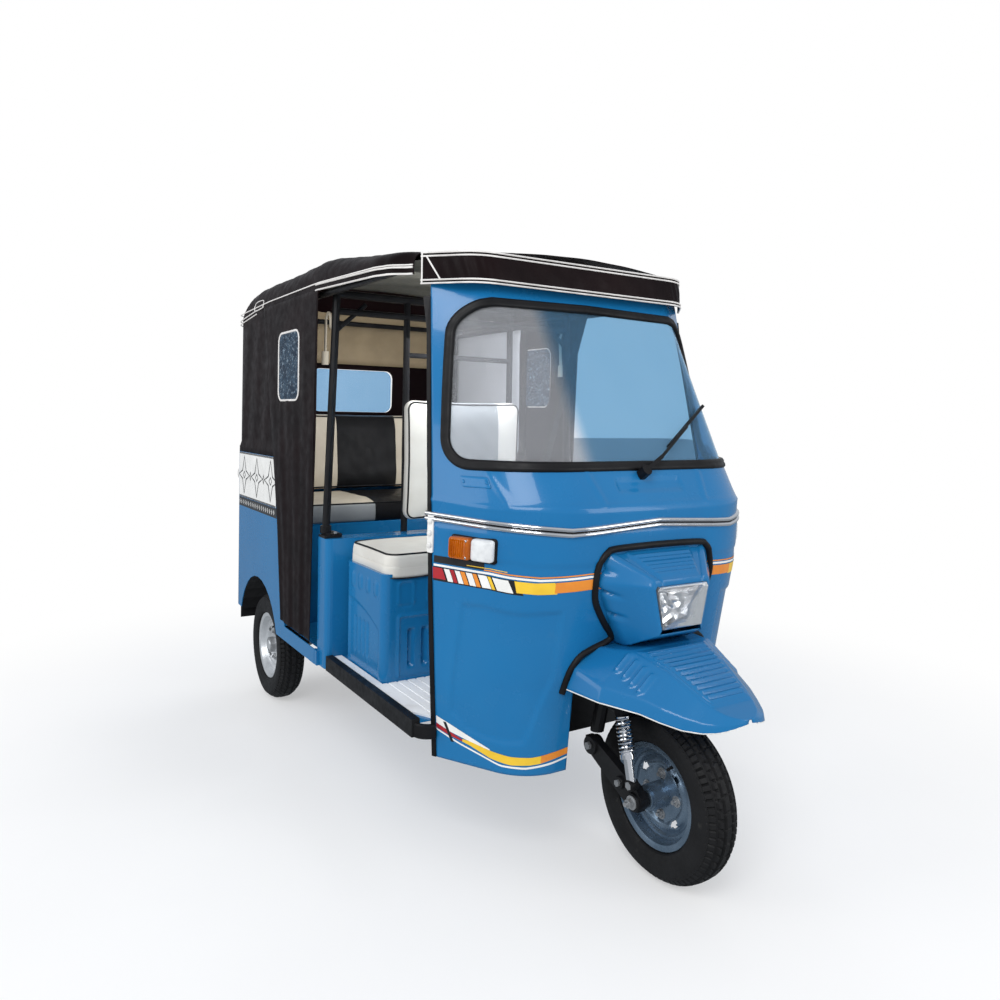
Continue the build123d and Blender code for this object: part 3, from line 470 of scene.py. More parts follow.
def cowl_at(a, z, out=0.0):
    """Points on the cowl. a is the distance round from the centre line, negative to the right."""
    a = np.asarray(a, float)
    z = np.asarray(z, float)
    a, z = np.broadcast_arrays(a, z)
    result = np.zeros(a.shape + (3,))
    for low, high in zip(COWL, COWL[1:]):
        top = z <= high[0] if high is not COWL[-1] else z <= 9
        bottom = z > low[0] if low is not COWL[0] else z > -9
        mask = top & bottom
        if not mask.any():
            continue
        share = (z[mask] - low[0]) / (high[0] - low[0])
        lengths_low = plan_points(low, np.zeros(1), 0)[1]
        lengths_high = plan_points(high, np.zeros(1), 0)[1]
        lengths = lengths_low + (lengths_high - lengths_low) * share[:, None]
        along = np.abs(a[mask])
        l1, l2, l3 = lengths.T
        beyond = np.where(along < l1 + l2, 1 + (along - l1) / l2, 2 + (along - l1 - l2) / l3)
        q = np.where(along < l1, along / l1, beyond)
        point_low = plan_points(low, q, out)[0]
        point_high = plan_points(high, q, out)[0]
        xy = point_low + (point_high - point_low) * share[:, None]
        result[mask] = np.stack([xy[:, 0], xy[:, 1] * np.sign(a[mask] + 1e-12), z[mask]], -1)
    return result


def cowl_length(z):
    """Distance round from the centre line to the door edge at height z."""
    for low, high in zip(COWL, COWL[1:]):
        if z <= high[0]:
            break
    share = (z - low[0]) / (high[0] - low[0])
    one = plan_points(low, np.zeros(1), 0)[1].sum()
    two = plan_points(high, np.zeros(1), 0)[1].sum()
    return one + (two - one) * share


def ease(t):
    """Smooth step from 0 to 1."""
    t = np.clip(t, 0, 1)
    return t * t * (3 - 2 * t)


def between(value, table):
    """Linear interpolation in a short table of (position, value)."""
    keys = [row[0] for row in table]
    values = [row[1] for row in table]
    return np.interp(value, keys, values)


# Pressed lines of the cowl, as (distance from the centre line, height).
SWAGE = [(0.0, 0.905), (0.18, 0.900), (0.244, 0.884), (0.37, 0.884), (0.508, 0.892), (0.59, 0.887), (0.655, 0.884),
         (0.678, 0.898), (0.698, 0.919), (0.714, 0.946), (0.74, 0.985), (0.80, 1.0)]
SHOULDER = [(0.0, 1.048), (0.335, 1.044), (0.471, 1.038), (0.596, 1.041), (0.75, 1.047)]
TRAY_TOP = [(0.30, 0.767), (0.357, 0.764), (0.41, 0.759), (0.465, 0.761), (0.527, 0.770), (0.62, 0.766)]
TRAY_LOW = [(0.34, 0.40), (0.38, 0.379), (0.425, 0.374), (0.487, 0.376), (0.553, 0.388), (0.60, 0.43)]
TRAY_FRONT = [(0.37, 0.375), (0.40, 0.362), (0.485, 0.335), (0.569, 0.303), (0.77, 0.303)]
FACETS = [((0.502, 1.118), (0.473, 1.050)), ((0.215, 1.126), (0.196, 1.060))]


def pressed(a, z):
    """How far the cowl's sheet is pressed out at each point."""
    side = np.abs(a)
    swage = between(side, SWAGE)
    out = 0.0035 * ease((z - swage) / 0.009) * ease((0.985 - z) / 0.02)
    out += 0.003 * np.exp(-((z - between(side, SHOULDER)) / 0.0055) ** 2)
    edge = np.minimum(0.612 - side, side - between(z, TRAY_FRONT))
    edge = np.minimum(edge, np.minimum(between(side, TRAY_TOP) - z, z - between(side, TRAY_LOW)))
    out -= 0.0065 * ease(edge / 0.013)
    panel = np.minimum(0.125 - side, np.minimum(1.119 - z, z - 1.079))
    out -= 0.005 * ease(panel / 0.008)
    for (a0, z0), (a1, z1) in FACETS:
        share = np.clip((z - z1) / (z0 - z1), 0, 1)
        line = a1 + (a0 - a1) * share
        fade = ease((z - z1 + 0.02) / 0.02) * ease((z0 + 0.02 - z) / 0.02)
        out += 0.0035 * fade * ease((side - line + 0.02) / 0.02) * ease((line + 0.012 - side) / 0.012)
    return out


def on_cowl(a, z, out=0.0):
    """Points on the pressed surface of the cowl."""
    a = np.asarray(a, float)
    z = np.asarray(z, float)
    a, z = np.broadcast_arrays(a, z)
    base = cowl_at(a, z)
    normal = cowl_normal(a, z)
    return base + normal * (pressed(a, z) + out)[..., None]


def cowl_normal(a, z):
    """Outward direction on the cowl."""
    step = 0.004
    da = cowl_at(a + step, z) - cowl_at(a - step, z)
    dz = cowl_at(a, z + step) - cowl_at(a, z - step)
    normal = np.cross(da, dz)
    normal /= np.linalg.norm(normal, axis=-1, keepdims=True) + 1e-12
    outward = cowl_at(a, z, 0.01) - cowl_at(a, z)
    flip = np.sign((normal * outward).sum(-1))
    return normal * flip[..., None]


def corner_arc(before, corner, after, radius, steps):
    """Points of a rounded corner in the plane."""
    before, corner, after = (np.array(p, float) for p in (before, corner, after))
    one = (before - corner) / np.linalg.norm(before - corner)
    two = (after - corner) / np.linalg.norm(after - corner)
    half = math.acos(float(one @ two)) / 2
    centre = corner + (one + two) / np.linalg.norm(one + two) * radius / math.sin(half)
    first = corner + one * radius / math.tan(half) - centre
    last = corner + two * radius / math.tan(half) - centre
    start = math.atan2(first[1], first[0])
    turn = (math.atan2(last[1], last[0]) - start + math.pi) % (2 * math.pi) - math.pi
    angles = start + turn * np.linspace(0, 1, steps)
    return centre + radius * np.stack([np.cos(angles), np.sin(angles)], -1)


def windscreen_rows(grow=0.0, steps=14):
    """Heights of the windscreen opening and how far round it reaches at each."""
    low, high = 1.150 - grow, 1.640 + grow
    low_x, high_x = FX - 0.3718 - grow, FX - 0.460 - grow
    radius = 0.095 + grow
    lower = corner_arc((FX + 0.4, low), (low_x, low), (high_x, high), radius, steps)
    upper = corner_arc((low_x, low), (high_x, high), (FX + 0.4, high), radius, steps)
    middle = [lower[-1] + (upper[0] - lower[-1]) * t for t in np.linspace(0, 1, 30)[1:-1]]
    outline = np.concatenate([lower, middle, upper])
    reach = []
    for x, z in outline:
        a = np.linspace(0, cowl_length(min(z, 1.71)), 700)
        xs = cowl_at(a, np.full_like(a, z))[:, 0]
        reach.append(float(np.interp(-x, -xs, a)))
    return outline[:, 1], np.array(reach)


# ---------------------------------------------------------------- cowl
BAY_HALF, BAY_TOP = 0.235, 0.600      # opening that the front wheel stands in


def build_cowl():
    """The cowl's sheet, with openings for the windscreen and the front wheel."""
    rows, columns = 176, 208
    z = np.linspace(COWL[0][0], COWL[-1][0], rows)
    share = np.linspace(-1, 1, columns)
    length = np.array([cowl_length(v) for v in z])
    a = share[None, :] * length[:, None]
    zz = np.repeat(z[:, None], columns, 1)
    points = on_cowl(a, zz, -0.0002)
    open_z, open_a = windscreen_rows()
    reach = np.interp(z, open_z, open_a, left=-1, right=-1)
    faces = []
    for r in range(rows - 1):
        for c in range(columns - 1):
            mid_a = abs(a[r, c] + a[r, c + 1]) / 2
            if mid_a < max(reach[r], reach[r + 1]) - 0.001 and min(reach[r], reach[r + 1]) > 0:
                continue
            i = r * columns + c
            faces.append((i, i + 1, i + columns + 1, i + columns))
    mesh, bm = editable("cowl_skin", points.reshape(-1, 3).tolist(), faces)
    for place, way in (((0, BAY_HALF, 0), (0, 1, 0)), ((0, -BAY_HALF, 0), (0, -1, 0)), ((0, 0, BAY_TOP), (0, 0, 1))):
        cut_plane(bm, lambda c: abs(c.y) < BAY_HALF + 0.035 and c.z < BAY_TOP + 0.02, place, way)
    drop_faces(bm, lambda c: abs(c.y) < BAY_HALF and c.z < BAY_TOP)
    drop_loose(bm)
    closed_mesh(mesh, bm)
    thicken(dress("cowl_skin", mesh, "paint", smooth=50, stands_for=["front_cowl"]), 0.0028)


build_cowl()


def cowl_patch(a_values, low, high, out, rows=3, slant=0.0):
    """Thin film on the cowl between two lines. low and high are heights at each distance round."""
    a_values = np.asarray(a_values, float)
    low = np.asarray(low, float) * np.ones_like(a_values)
    high = np.asarray(high, float) * np.ones_like(a_values)
    share = np.linspace(0, 1, rows)[:, None]
    z = low + (high - low) * share
    a = a_values + slant * (z - low)
    reach = np.array([cowl_length(v) for v in z.ravel()]).reshape(z.shape) - 0.003
    a = np.clip(a, -reach, reach)
    return grid_mesh(on_cowl(a, z, out))


def stripes():
    """Painted tape on both cowl sides: an upper and a lower set, mirrored across the car."""
    white_line = [(-0.8, 0.857), (0.20, 0.853), (0.236, 0.854), (0.313, 0.850), (0.381, 0.847), (0.462, 0.851),
                  (0.521, 0.857)]
    parts = {look: [] for look in ("tape_white", "tape_red", "tape_yellow", "tape_orange", "tape_black")}

    def strip(look, side, start, end, low, high, out=0.0007, slant=0.0, count=None):
        count = count or max(3, int(abs(end - start) / 0.006) + 2)
        along = np.linspace(start, end, count)
        line = between(along, white_line)
        parts[look].append(cowl_patch(side * along, line + low, line + high, out, slant=side * slant))

    for side in (-1, 1):
        strip("tape_white", side, 0.196, 0.722, 0.000, 0.006)
        strip("tape_orange", side, 0.196, 0.540, 0.009, 0.0125)
        strip("tape_black", side, 0.540, 0.722, 0.010, 0.030, 0.0006)
        strip("tape_yellow", side, 0.470, 0.600, 0.0155, 0.0175, 0.0009)
        strip("tape_black", side, 0.420, 0.722, -0.042, -0.0015, 0.0005, 0.55)
        strip("tape_red", side, 0.672, 0.722, -0.036, -0.004, 0.0008, 0.55)
        chevrons = [
            # look, near end, far end
            ("tape_white", 0.644, 0.664), ("tape_red", 0.628, 0.642), ("tape_white", 0.606, 0.624),
            ("tape_orange", 0.588, 0.604), ("tape_white", 0.562, 0.584), ("tape_orange", 0.546, 0.560),
            ("tape_white", 0.512, 0.541), ("tape_yellow", 0.500, 0.510), ("tape_white", 0.448, 0.495),
        ]
        for look, near, far in chevrons:
            strip(look, side, near, far, -0.0385, -0.004, 0.0008, 0.55, 5)
        strip("tape_yellow", side, 0.330, 0.440, -0.036, -0.004, 0.0008, 0.3)
        strip("tape_orange", side, 0.196, 0.338, -0.033, -0.004, 0.0009)
        lower = [
            # look, (distance, low, high) stations
            ("tape_white", [(0.735, 0.415, 0.432), (0.654, 0.397, 0.417), (0.604, 0.379, 0.401), (0.546, 0.366, 0.381),
                            (0.470, 0.352, 0.356)]),
            ("tape_red", [(0.735, 0.400, 0.413), (0.653, 0.383, 0.396), (0.600, 0.366, 0.377), (0.560, 0.358, 0.364)]),
            ("tape_yellow", [(0.560, 0.358, 0.366), (0.534, 0.352, 0.364), (0.467, 0.330, 0.352), (0.407, 0.321, 0.345),
                             (0.351, 0.323, 0.345), (0.320, 0.327, 0.349)]),
            ("tape_orange", [(0.322, 0.327, 0.349), (0.293, 0.333, 0.354), (0.236, 0.342, 0.361)]),
            ("tape_white", [(0.735, 0.392, 0.397), (0.652, 0.376, 0.381), (0.574, 0.349, 0.354), (0.500, 0.330, 0.335),
                            (0.435, 0.313, 0.318), (0.364, 0.311, 0.317), (0.292, 0.320, 0.326),
                            (0.236, 0.329, 0.335)]),
        ]
        for look, stations in lower:
            stations = stations[::-1]
            along = np.linspace(stations[0][0], stations[-1][0], 40)
            low = between(along, [(s[0], s[1]) for s in stations])
            high = between(along, [(s[0], s[2]) for s in stations])
            parts[look].append(cowl_patch(side * along, low, high, 0.0007))
        across_stripes = side * np.linspace(0.588, 0.598, 3)
        parts["tape_black"].append(cowl_patch(across_stripes, 0.350, 0.404, 0.0011, 12, side * 0.55))
    for look, pieces in parts.items():
        merged(look.replace("tape", "stripes"), pieces, look, smooth=60)


stripes()


def cowl_strip(path, section, closed=False):
    """Bead that follows a path of (distance, height) on the cowl. section is a list of (across, out) points."""
    path = np.array(path, float)
    points = on_cowl(path[:, 0], path[:, 1])
    normals = cowl_normal(path[:, 0], path[:, 1])
    count = len(path)
    if closed:
        ahead = np.roll(points, -1, 0) - np.roll(points, 1, 0)
    else:
        ahead = np.gradient(points, axis=0)
    ahead /= np.linalg.norm(ahead, axis=1, keepdims=True)
    across = np.cross(normals, ahead)
    across /= np.linalg.norm(across, axis=1, keepdims=True)
    verts = [points[i] + across[i] * w + normals[i] * h for i in range(count) for w, h in section]
    faces = grid_faces(count, len(section), wrap_rows=closed, wrap_columns=True)
    return verts, (faces if closed else faces + end_caps(count, len(section)))


def half_round(width, height, low=-0.002, steps=7):
    """Section of a bead: a flat base and a rounded top."""
    points = [(-width / 2, low)]
    for k in range(steps):
        angle = math.pi - math.pi * k / (steps - 1)
        rise = math.sin(angle) ** 0.8 if math.sin(angle) > 1e-6 else 0.0
        points.append((width / 2 * math.cos(angle), height * rise))
    points.append((width / 2, low))
    return points


# ---------------------------------------------------------------- windscreen, its rubber and the wiper
glass_z, glass_a = windscreen_rows(0.010)
glass_at = (glass_a[:, None] * np.linspace(-1, 1, 96), np.repeat(glass_z[:, None], 96, 1))
glass = piece("windscreen_glass", *grid_mesh(cowl_at(*glass_at) - cowl_normal(*glass_at) * 0.005), "glass",
              smooth=80, stands_for=["windscreen"])
thicken(glass, 0.004)

seal_z, seal_a = windscreen_rows(0.0)
loop = [(-a, z) for a, z in zip(seal_a, seal_z)]
loop += [(a, seal_z[-1]) for a in np.linspace(-seal_a[-1], seal_a[-1], 90)[1:-1]]
loop += [(a, z) for a, z in list(zip(seal_a, seal_z))[::-1]]
loop += [(a, seal_z[0]) for a in np.linspace(seal_a[0], -seal_a[0], 90)[1:-1]]
SEAL = [(-0.015, -0.006), (-0.016, 0.002), (-0.013, 0.006), (-0.005, 0.0075), (0.0, 0.0055), (0.004, 0.0075),
        (0.012, 0.006), (0.015, 0.001), (0.014, -0.006)]
piece("windscreen_rubber", *cowl_strip(loop, SEAL, closed=True), "rubber", smooth=50, stands_for=["windscreen_seal"])


def off_glass(a, z, out):
    """Point at a height over the cowl or the glass."""
    return Vector(on_cowl(a, z)) + Vector(cowl_normal(a, z)) * out


def wiper():
    """Wiper arm and blade, which turn on a boss under the windscreen."""
    normal = Vector(cowl_normal(-0.018, 1.126))
    root = off_glass(-0.018, 1.126, 0.022)
    elbow = off_glass(0.062, 1.164, 0.026)
    end = off_glass(0.215, 1.254, 0.024)
    blade_a = off_glass(0.120, 1.200, 0.012)
    blade_b = off_glass(0.352, 1.326, 0.012)
    pieces = [bar(root - normal * 0.026, root + normal * 0.008, (0.030, 0.030), 0.5)]
    for a, b, size in ((root, elbow, (0.012, 0.007)), (elbow, end, (0.009, 0.006)), (blade_a, blade_b, (0.010, 0.014)),
                       (blade_a.lerp(blade_b, 0.15) + normal * 0.008, blade_a.lerp(blade_b, 0.85) + normal * 0.008,
                        (0.007, 0.010))):
        pieces.append(bar(a, b, size, up=normal))
    merged("wiper", pieces, "rubber", smooth=40)


wiper()

# ---------------------------------------------------------------- chrome band
band_a = np.linspace(-0.757, 0.757, 260)
half_y = np.abs(cowl_at(band_a, np.full_like(band_a, 0.99))[:, 1])
band_z = between(half_y, [(0, 0.995), (0.3, 0.979), (0.7, 1.011)])
bands = [cowl_strip(list(zip(band_a, band_z + shift)), half_round(0.0125, 0.008)) for shift in (0.0075, -0.0075)]
merged("chrome_band", bands, "chrome", smooth=50, stands_for=["cowl_band"])
merged("band_groove", [cowl_strip(list(zip(band_a, band_z)), half_round(0.004, 0.003))], "rubber", smooth=50)

# ---------------------------------------------------------------- rubber beading round the nose
BEAD = [(0.274, 0.524), (0.266, 0.562), (0.255, 0.596), (0.231, 0.628), (0.188, 0.646), (0.154, 0.656),
        (0.130, 0.668), (0.136, 0.685), (0.157, 0.708), (0.190, 0.752), (0.211, 0.789), (0.219, 0.834),
        (0.215, 0.875), (0.204, 0.904), (0.185, 0.922), (0.160, 0.929), (0.0, 0.932)]
bead_line = smooth_line([(-a, z, 0) for a, z in BEAD] + [(a, z, 0) for a, z in BEAD[-2::-1]], 0.01)
beading = cowl_strip([(p.x, p.y) for p in bead_line], half_round(0.019, 0.011, -0.004))
merged("nose_beading", [beading], "rubber", smooth=60)


# ---------------------------------------------------------------- nacelle, lamp and mudguard
def walk(corners, counts):
    """Points along a line of corners, with a count for each stretch."""
    points = []
    for (y0, z0), (y1, z1), count in zip(corners, corners[1:], counts):
        points += [(y0 + (y1 - y0) * (k / count), z0 + (z1 - z0) * (k / count)) for k in range(count)]
    return points + corners[-1:]


def softened(grid, times, axis):
    """Averages neighbours along one axis so that corners round off. The two ends stay."""
    for _ in range(times):
        fresh = grid.copy()
        old, new = np.moveaxis(grid, axis, 0), np.moveaxis(fresh, axis, 0)
        new[1:-1] = 0.5 * old[1:-1] + 0.25 * (old[:-2] + old[2:])
        grid = fresh
    return grid


def nose_grid(stations, steps, counts, round_ring, round_rows):
    """Grid over a nose form from its stations (x, low_z, low_half, shoulder_z, shoulder_half, top_z, top_half).

    Its rows run from the low right edge over the top to the low left edge.
    """
    xs = []
    for near, far in zip(stations, stations[1:]):
        count = max(2, int(abs(far[0] - near[0]) / steps))
        xs.extend(np.linspace(near[0], far[0], count, endpoint=False))
    xs.append(stations[-1][0])
    keys, *columns = zip(*stations)
    rows = []
    for x in xs:
        low_z, low, knee_z, knee, top_z, top = (float(np.interp(x, keys, column)) for column in columns)
        corners = [(-low, low_z), (-knee, knee_z), (-top, top_z), (top, top_z), (knee, knee_z), (low, low_z)]
        rows.append([(FX + x, y, z) for y, z in walk(corners, counts)])
    return softened(softened(np.array(rows), round_ring, 1), round_rows, 0), np.array(xs)


def outward_normals(grid, centre):
    """Directions square to a grid of points, away from a centre."""
    normal = np.cross(np.gradient(grid, axis=0), np.gradient(grid, axis=1))
    normal = normal / (np.linalg.norm(normal, axis=-1, keepdims=True) + 1e-12)
    return normal * np.sign((normal * (grid - np.array(centre))).sum(-1, keepdims=True))


NACELLE = [(-0.130, 0.655, 0.112, 0.838, 0.212, 0.930, 0.184), (-0.060, 0.655, 0.112, 0.838, 0.210, 0.925, 0.182),
           (-0.045, 0.657, 0.111, 0.838, 0.204, 0.912, 0.178), (0.045, 0.700, 0.078, 0.834, 0.107, 0.850, 0.098)]
NOSE_COUNTS = (44, 18, 90, 18, 44)
nac, _ = nose_grid(NACELLE, 0.0035, NOSE_COUNTS, 4, 3)
normals = outward_normals(nac, (FX - 0.1, 0, 0.78))
rel_x = nac[..., 0] - FX
half_here = np.interp(rel_x, [-0.045, 0.045], [0.118, 0.070])
rib_zone = ease((half_here - np.abs(nac[..., 1])) / 0.008)
rib_zone *= ease((rel_x + 0.040) / 0.004) * ease((0.036 - rel_x) / 0.004)
lift = 0.0042 * rib_zone * (0.35 + 0.65 * (0.5 + 0.5 * np.cos((rel_x + 0.033) / 0.0118 * 2 * math.pi)))
crease = np.interp(rel_x, [-0.05, 0.045], [0.165, 0.083])
beside_ribs = ease((np.abs(nac[..., 1]) - half_here) / 0.006) * ease((crease - np.abs(nac[..., 1])) / 0.006)
lift -= 0.0035 * ease((nac[..., 2] - 0.845) / 0.004) * beside_ribs
side_zone = ease((np.abs(nac[..., 1]) - 0.09) / 0.01)
for centre_z, x_end, slope in ((0.875, -0.018, 0.35), (0.812, -0.004, 0.30), (0.745, -0.010, 0.12)):
    reach = ease((x_end - rel_x) / 0.045) * ease((rel_x + 0.075) / 0.01)
    line_z = centre_z - slope * (rel_x + 0.05)
    lift -= 0.011 * side_zone * reach * ease(1 - np.abs(nac[..., 2] - line_z) / 0.013)
nac = nac + normals * lift[..., None]
LAMP = [(-0.071, 0.716), (-0.096, 0.826), (-0.090, 0.835), (0.090, 0.835), (0.096, 0.826), (0.071, 0.716)]


def lamp_ring(x, share):
    """The lamp's outline at x, shrunk towards its middle."""
    middle = 0.776
    return np.array([(FX + x, y * share, middle + (z - middle) * share) for y, z in walk(LAMP, NOSE_COUNTS)])


collar = [nac[-1] * (1 - t) + lamp_ring(0.047, 1.045) * t for t in (0.5, 1.0)] + [lamp_ring(0.020, 1.04)]
nacelle_mesh = grid_mesh(np.concatenate([nac, collar]))
thicken(piece("nacelle_skin", *nacelle_mesh, "paint", smooth=40, stands_for=["nose_nacelle"]), 0.0028)
lip_rows = []
for x, z, half in ((-0.13, 0.656, 0.111), (-0.05, 0.657, 0.110), (0.0, 0.679, 0.094), (0.044, 0.701, 0.078)):
    lip_rows.append([(FX + x, half * t, z + 0.0005) for t in np.linspace(-1, 1, 9)])
thicken(piece("nacelle_underside", *grid_mesh(lip_rows), "paint", smooth=30), 0.003, 0.0)

LENS = [(0.018, 1.0), (0.048, 1.0), (0.054, 0.985), (0.058, 0.95), (0.061, 0.86), (0.063, 0.70), (0.064, 0.5),
        (0.0645, 0.25), (0.0648, 0.02)]
lens_mesh = grid_mesh([lamp_ring(x, share) for x, share in LENS], wrap_columns=True)
piece("headlamp_lens", *lens_mesh, "clear_lens", smooth=40, stands_for=["headlamp"])

GUARD = [(-0.215, 0.541, 0.280, 0.626, 0.262, 0.636, 0.218), (0.0, 0.535, 0.248, 0.572, 0.238, 0.655, 0.142),
         (0.100, 0.527, 0.194, 0.560, 0.186, 0.624, 0.108), (0.150, 0.517, 0.171, 0.548, 0.164, 0.600, 0.097),
         (0.198, 0.508, 0.142, 0.536, 0.136, 0.576, 0.086), (0.238, 0.508, 0.112, 0.529, 0.107, 0.556, 0.070),
         (0.262, 0.512, 0.086, 0.528, 0.082, 0.548, 0.055), (0.276, 0.518, 0.060, 0.529, 0.057, 0.543, 0.039),
         (0.285, 0.525, 0.033, 0.532, 0.031, 0.540, 0.021), (0.289, 0.530, 0.008, 0.534, 0.007, 0.538, 0.005)]
guard, guard_x = nose_grid(GUARD, 0.0032, (8, 34, 70, 34, 8), 2, 2)
normals = outward_normals(guard, (FX, 0, 0.45))
rel_x = guard[..., 0] - FX
top_half = np.interp(rel_x, [s[0] for s in GUARD], [s[6] for s in GUARD])
panel_edge = np.minimum(top_half * 0.86 - np.abs(guard[..., 1]), np.minimum(rel_x - 0.020, 0.222 - rel_x))
on_top = ease((guard[..., 2] - np.interp(rel_x, [s[0] for s in GUARD], [s[3] for s in GUARD]) - 0.02) / 0.01)
lift = 0.0035 * ease((panel_edge + 0.009) / 0.004) * on_top + 0.003 * ease(panel_edge / 0.004) * on_top
lift += 0.0030 * ease((panel_edge - 0.004) / 0.006) * on_top * np.cos((rel_x - 0.02) / 0.0165 * 2 * math.pi)
side_y = np.abs(guard[..., 1])
for k in range(4):
    gill_x = 0.010 + 0.026 * k
    height = guard[..., 2] - (0.628 - 0.012 * k)
    wedge = ease((rel_x - gill_x + 0.011) / 0.004) * ease((gill_x + 0.010 - rel_x) / 0.022)
    lift += 0.0075 * wedge * ease((0.026 - np.abs(height)) / 0.01) * (side_y > top_half * 0.9)
guard = guard + normals * lift[..., None]
guard = guard[guard_x > -0.20]
guard_skin = piece("mudguard_skin", *grid_mesh(guard), "paint", smooth=40, stands_for=["front_mudguard"])
thicken(guard_skin, 0.0028)
edge_parts = [tube_mesh(guard[10:-1:2, side], 0.0032, 6) for side in (0, -1)]
merged("mudguard_edge", edge_parts, "tape_white", smooth=60)


# ---------------------------------------------------------------- canopy
ROOF = [  # distance behind the front axle, edge, knee and crown heights
    (0.380, 1.733, 1.760, 1.790), (1.200, 1.766, 1.860, 1.912), (1.800, 1.766, 1.860, 1.912),
    (2.345, 1.752, 1.845, 1.895),
]
HEM = [(0.40, 1.703), (1.20, 1.738), (1.62, 1.740)]     # lower edge over the doorways
BELT = 1.1003                                           # top of the rear body
ENTRY_REAR = 1.582                                      # where the doorway ends behind the front axle
CLOTH_FRONT, CLOTH_LOW = FX - 0.548, 1.7725             # the cloth's front end below the visor's top
REAR_WINDOW = (0, 1.410, 0.450, 0.220, 0.040)           # middle, size and corner radius


def roof_value(back, column):
    """A height of the roof's section: 1 is the edge, 2 the knee and 3 the crown."""
    return float(np.interp(back, [r[0] for r in ROOF], [r[column] for r in ROOF]))


def canopy_half(back):
    """Half width of the canopy's plan at a distance behind the front axle."""
    if back < 0.70:
        t = max(0.0, (0.548 - back) / 0.144)
        drawn = 0.012 * float(ease((0.70 - back) / 0.07)) + 0.048 * float(ease((0.63 - back) / 0.082))
        return HALF - drawn - 0.048 * t - 0.045 * t ** 6
    if back > 2.27:
        d = min(1.0, (back - 2.27) / 0.075)
        return HALF - 0.075 + 0.075 * math.sqrt(max(0.0, 1 - d * d))
    return HALF


def canopy_arch(back, limit, counts=(26, 5, 9, 54)):
    """One section of the cloth from the low right edge over the top to the low left edge, cut off at a limit."""
    edge, knee_z, crown = (roof_value(back, k) for k in (1, 2, 3))
    half = canopy_half(back)
    knee = min(0.520, half - 0.045)
    hem = between(back, HEM)
    points = [(-half, z) for z in np.linspace(BELT, hem, counts[0], endpoint=False)]
    points += [(-half, z) for z in np.linspace(hem, edge, counts[1], endpoint=False)]
    for t in np.linspace(0, math.pi / 2, counts[2], endpoint=False):
        points.append((-knee - (half - knee) * math.cos(t), edge + (knee_z - edge) * math.sin(t)))
    for y in np.linspace(-knee, 0, counts[3] // 2 + 1):
        points.append((y, crown - (crown - knee_z) * (y / knee) ** 2))
    points += [(-y, z) for y, z in points[-2::-1]]
    return np.array([(FX - back, y, min(z, limit)) for y, z in points])


def cut_hole(bm, outline, near, axes=(1, 2)):
    """Cuts a convex opening out of the sheet. near picks the faces round it."""
    i, j = axes
    edges = list(zip(outline, outline[1:] + outline[:1]))
    for p, q in edges:
        place, way = [0.0] * 3, [0.0] * 3
        place[i], place[j] = p
        way[i], way[j] = q[1] - p[1], p[0] - q[0]
        cut_plane(bm, near, place, way)

    def inside(c):
        signs = [(q[0] - p[0]) * (c[j] - p[1]) - (q[1] - p[1]) * (c[i] - p[0]) for p, q in edges]
        return near(c) and (all(s > 0 for s in signs) or all(s < 0 for s in signs))

    drop_faces(bm, inside)


def rounded_box(cx, cz, width, height, radius, steps=7):
    """Outline of a rectangle with rounded corners."""
    points = []
    for sx, sz, start in ((1, 1, 0), (-1, 1, 90), (-1, -1, 180), (1, -1, 270)):
        for k in range(steps):
            angle = math.radians(start + 90 * k / (steps - 1))
            points.append((cx + sx * (width / 2 - radius) + radius * math.cos(angle),
                           cz + sz * (height / 2 - radius) + radius * math.sin(angle)))
    return points


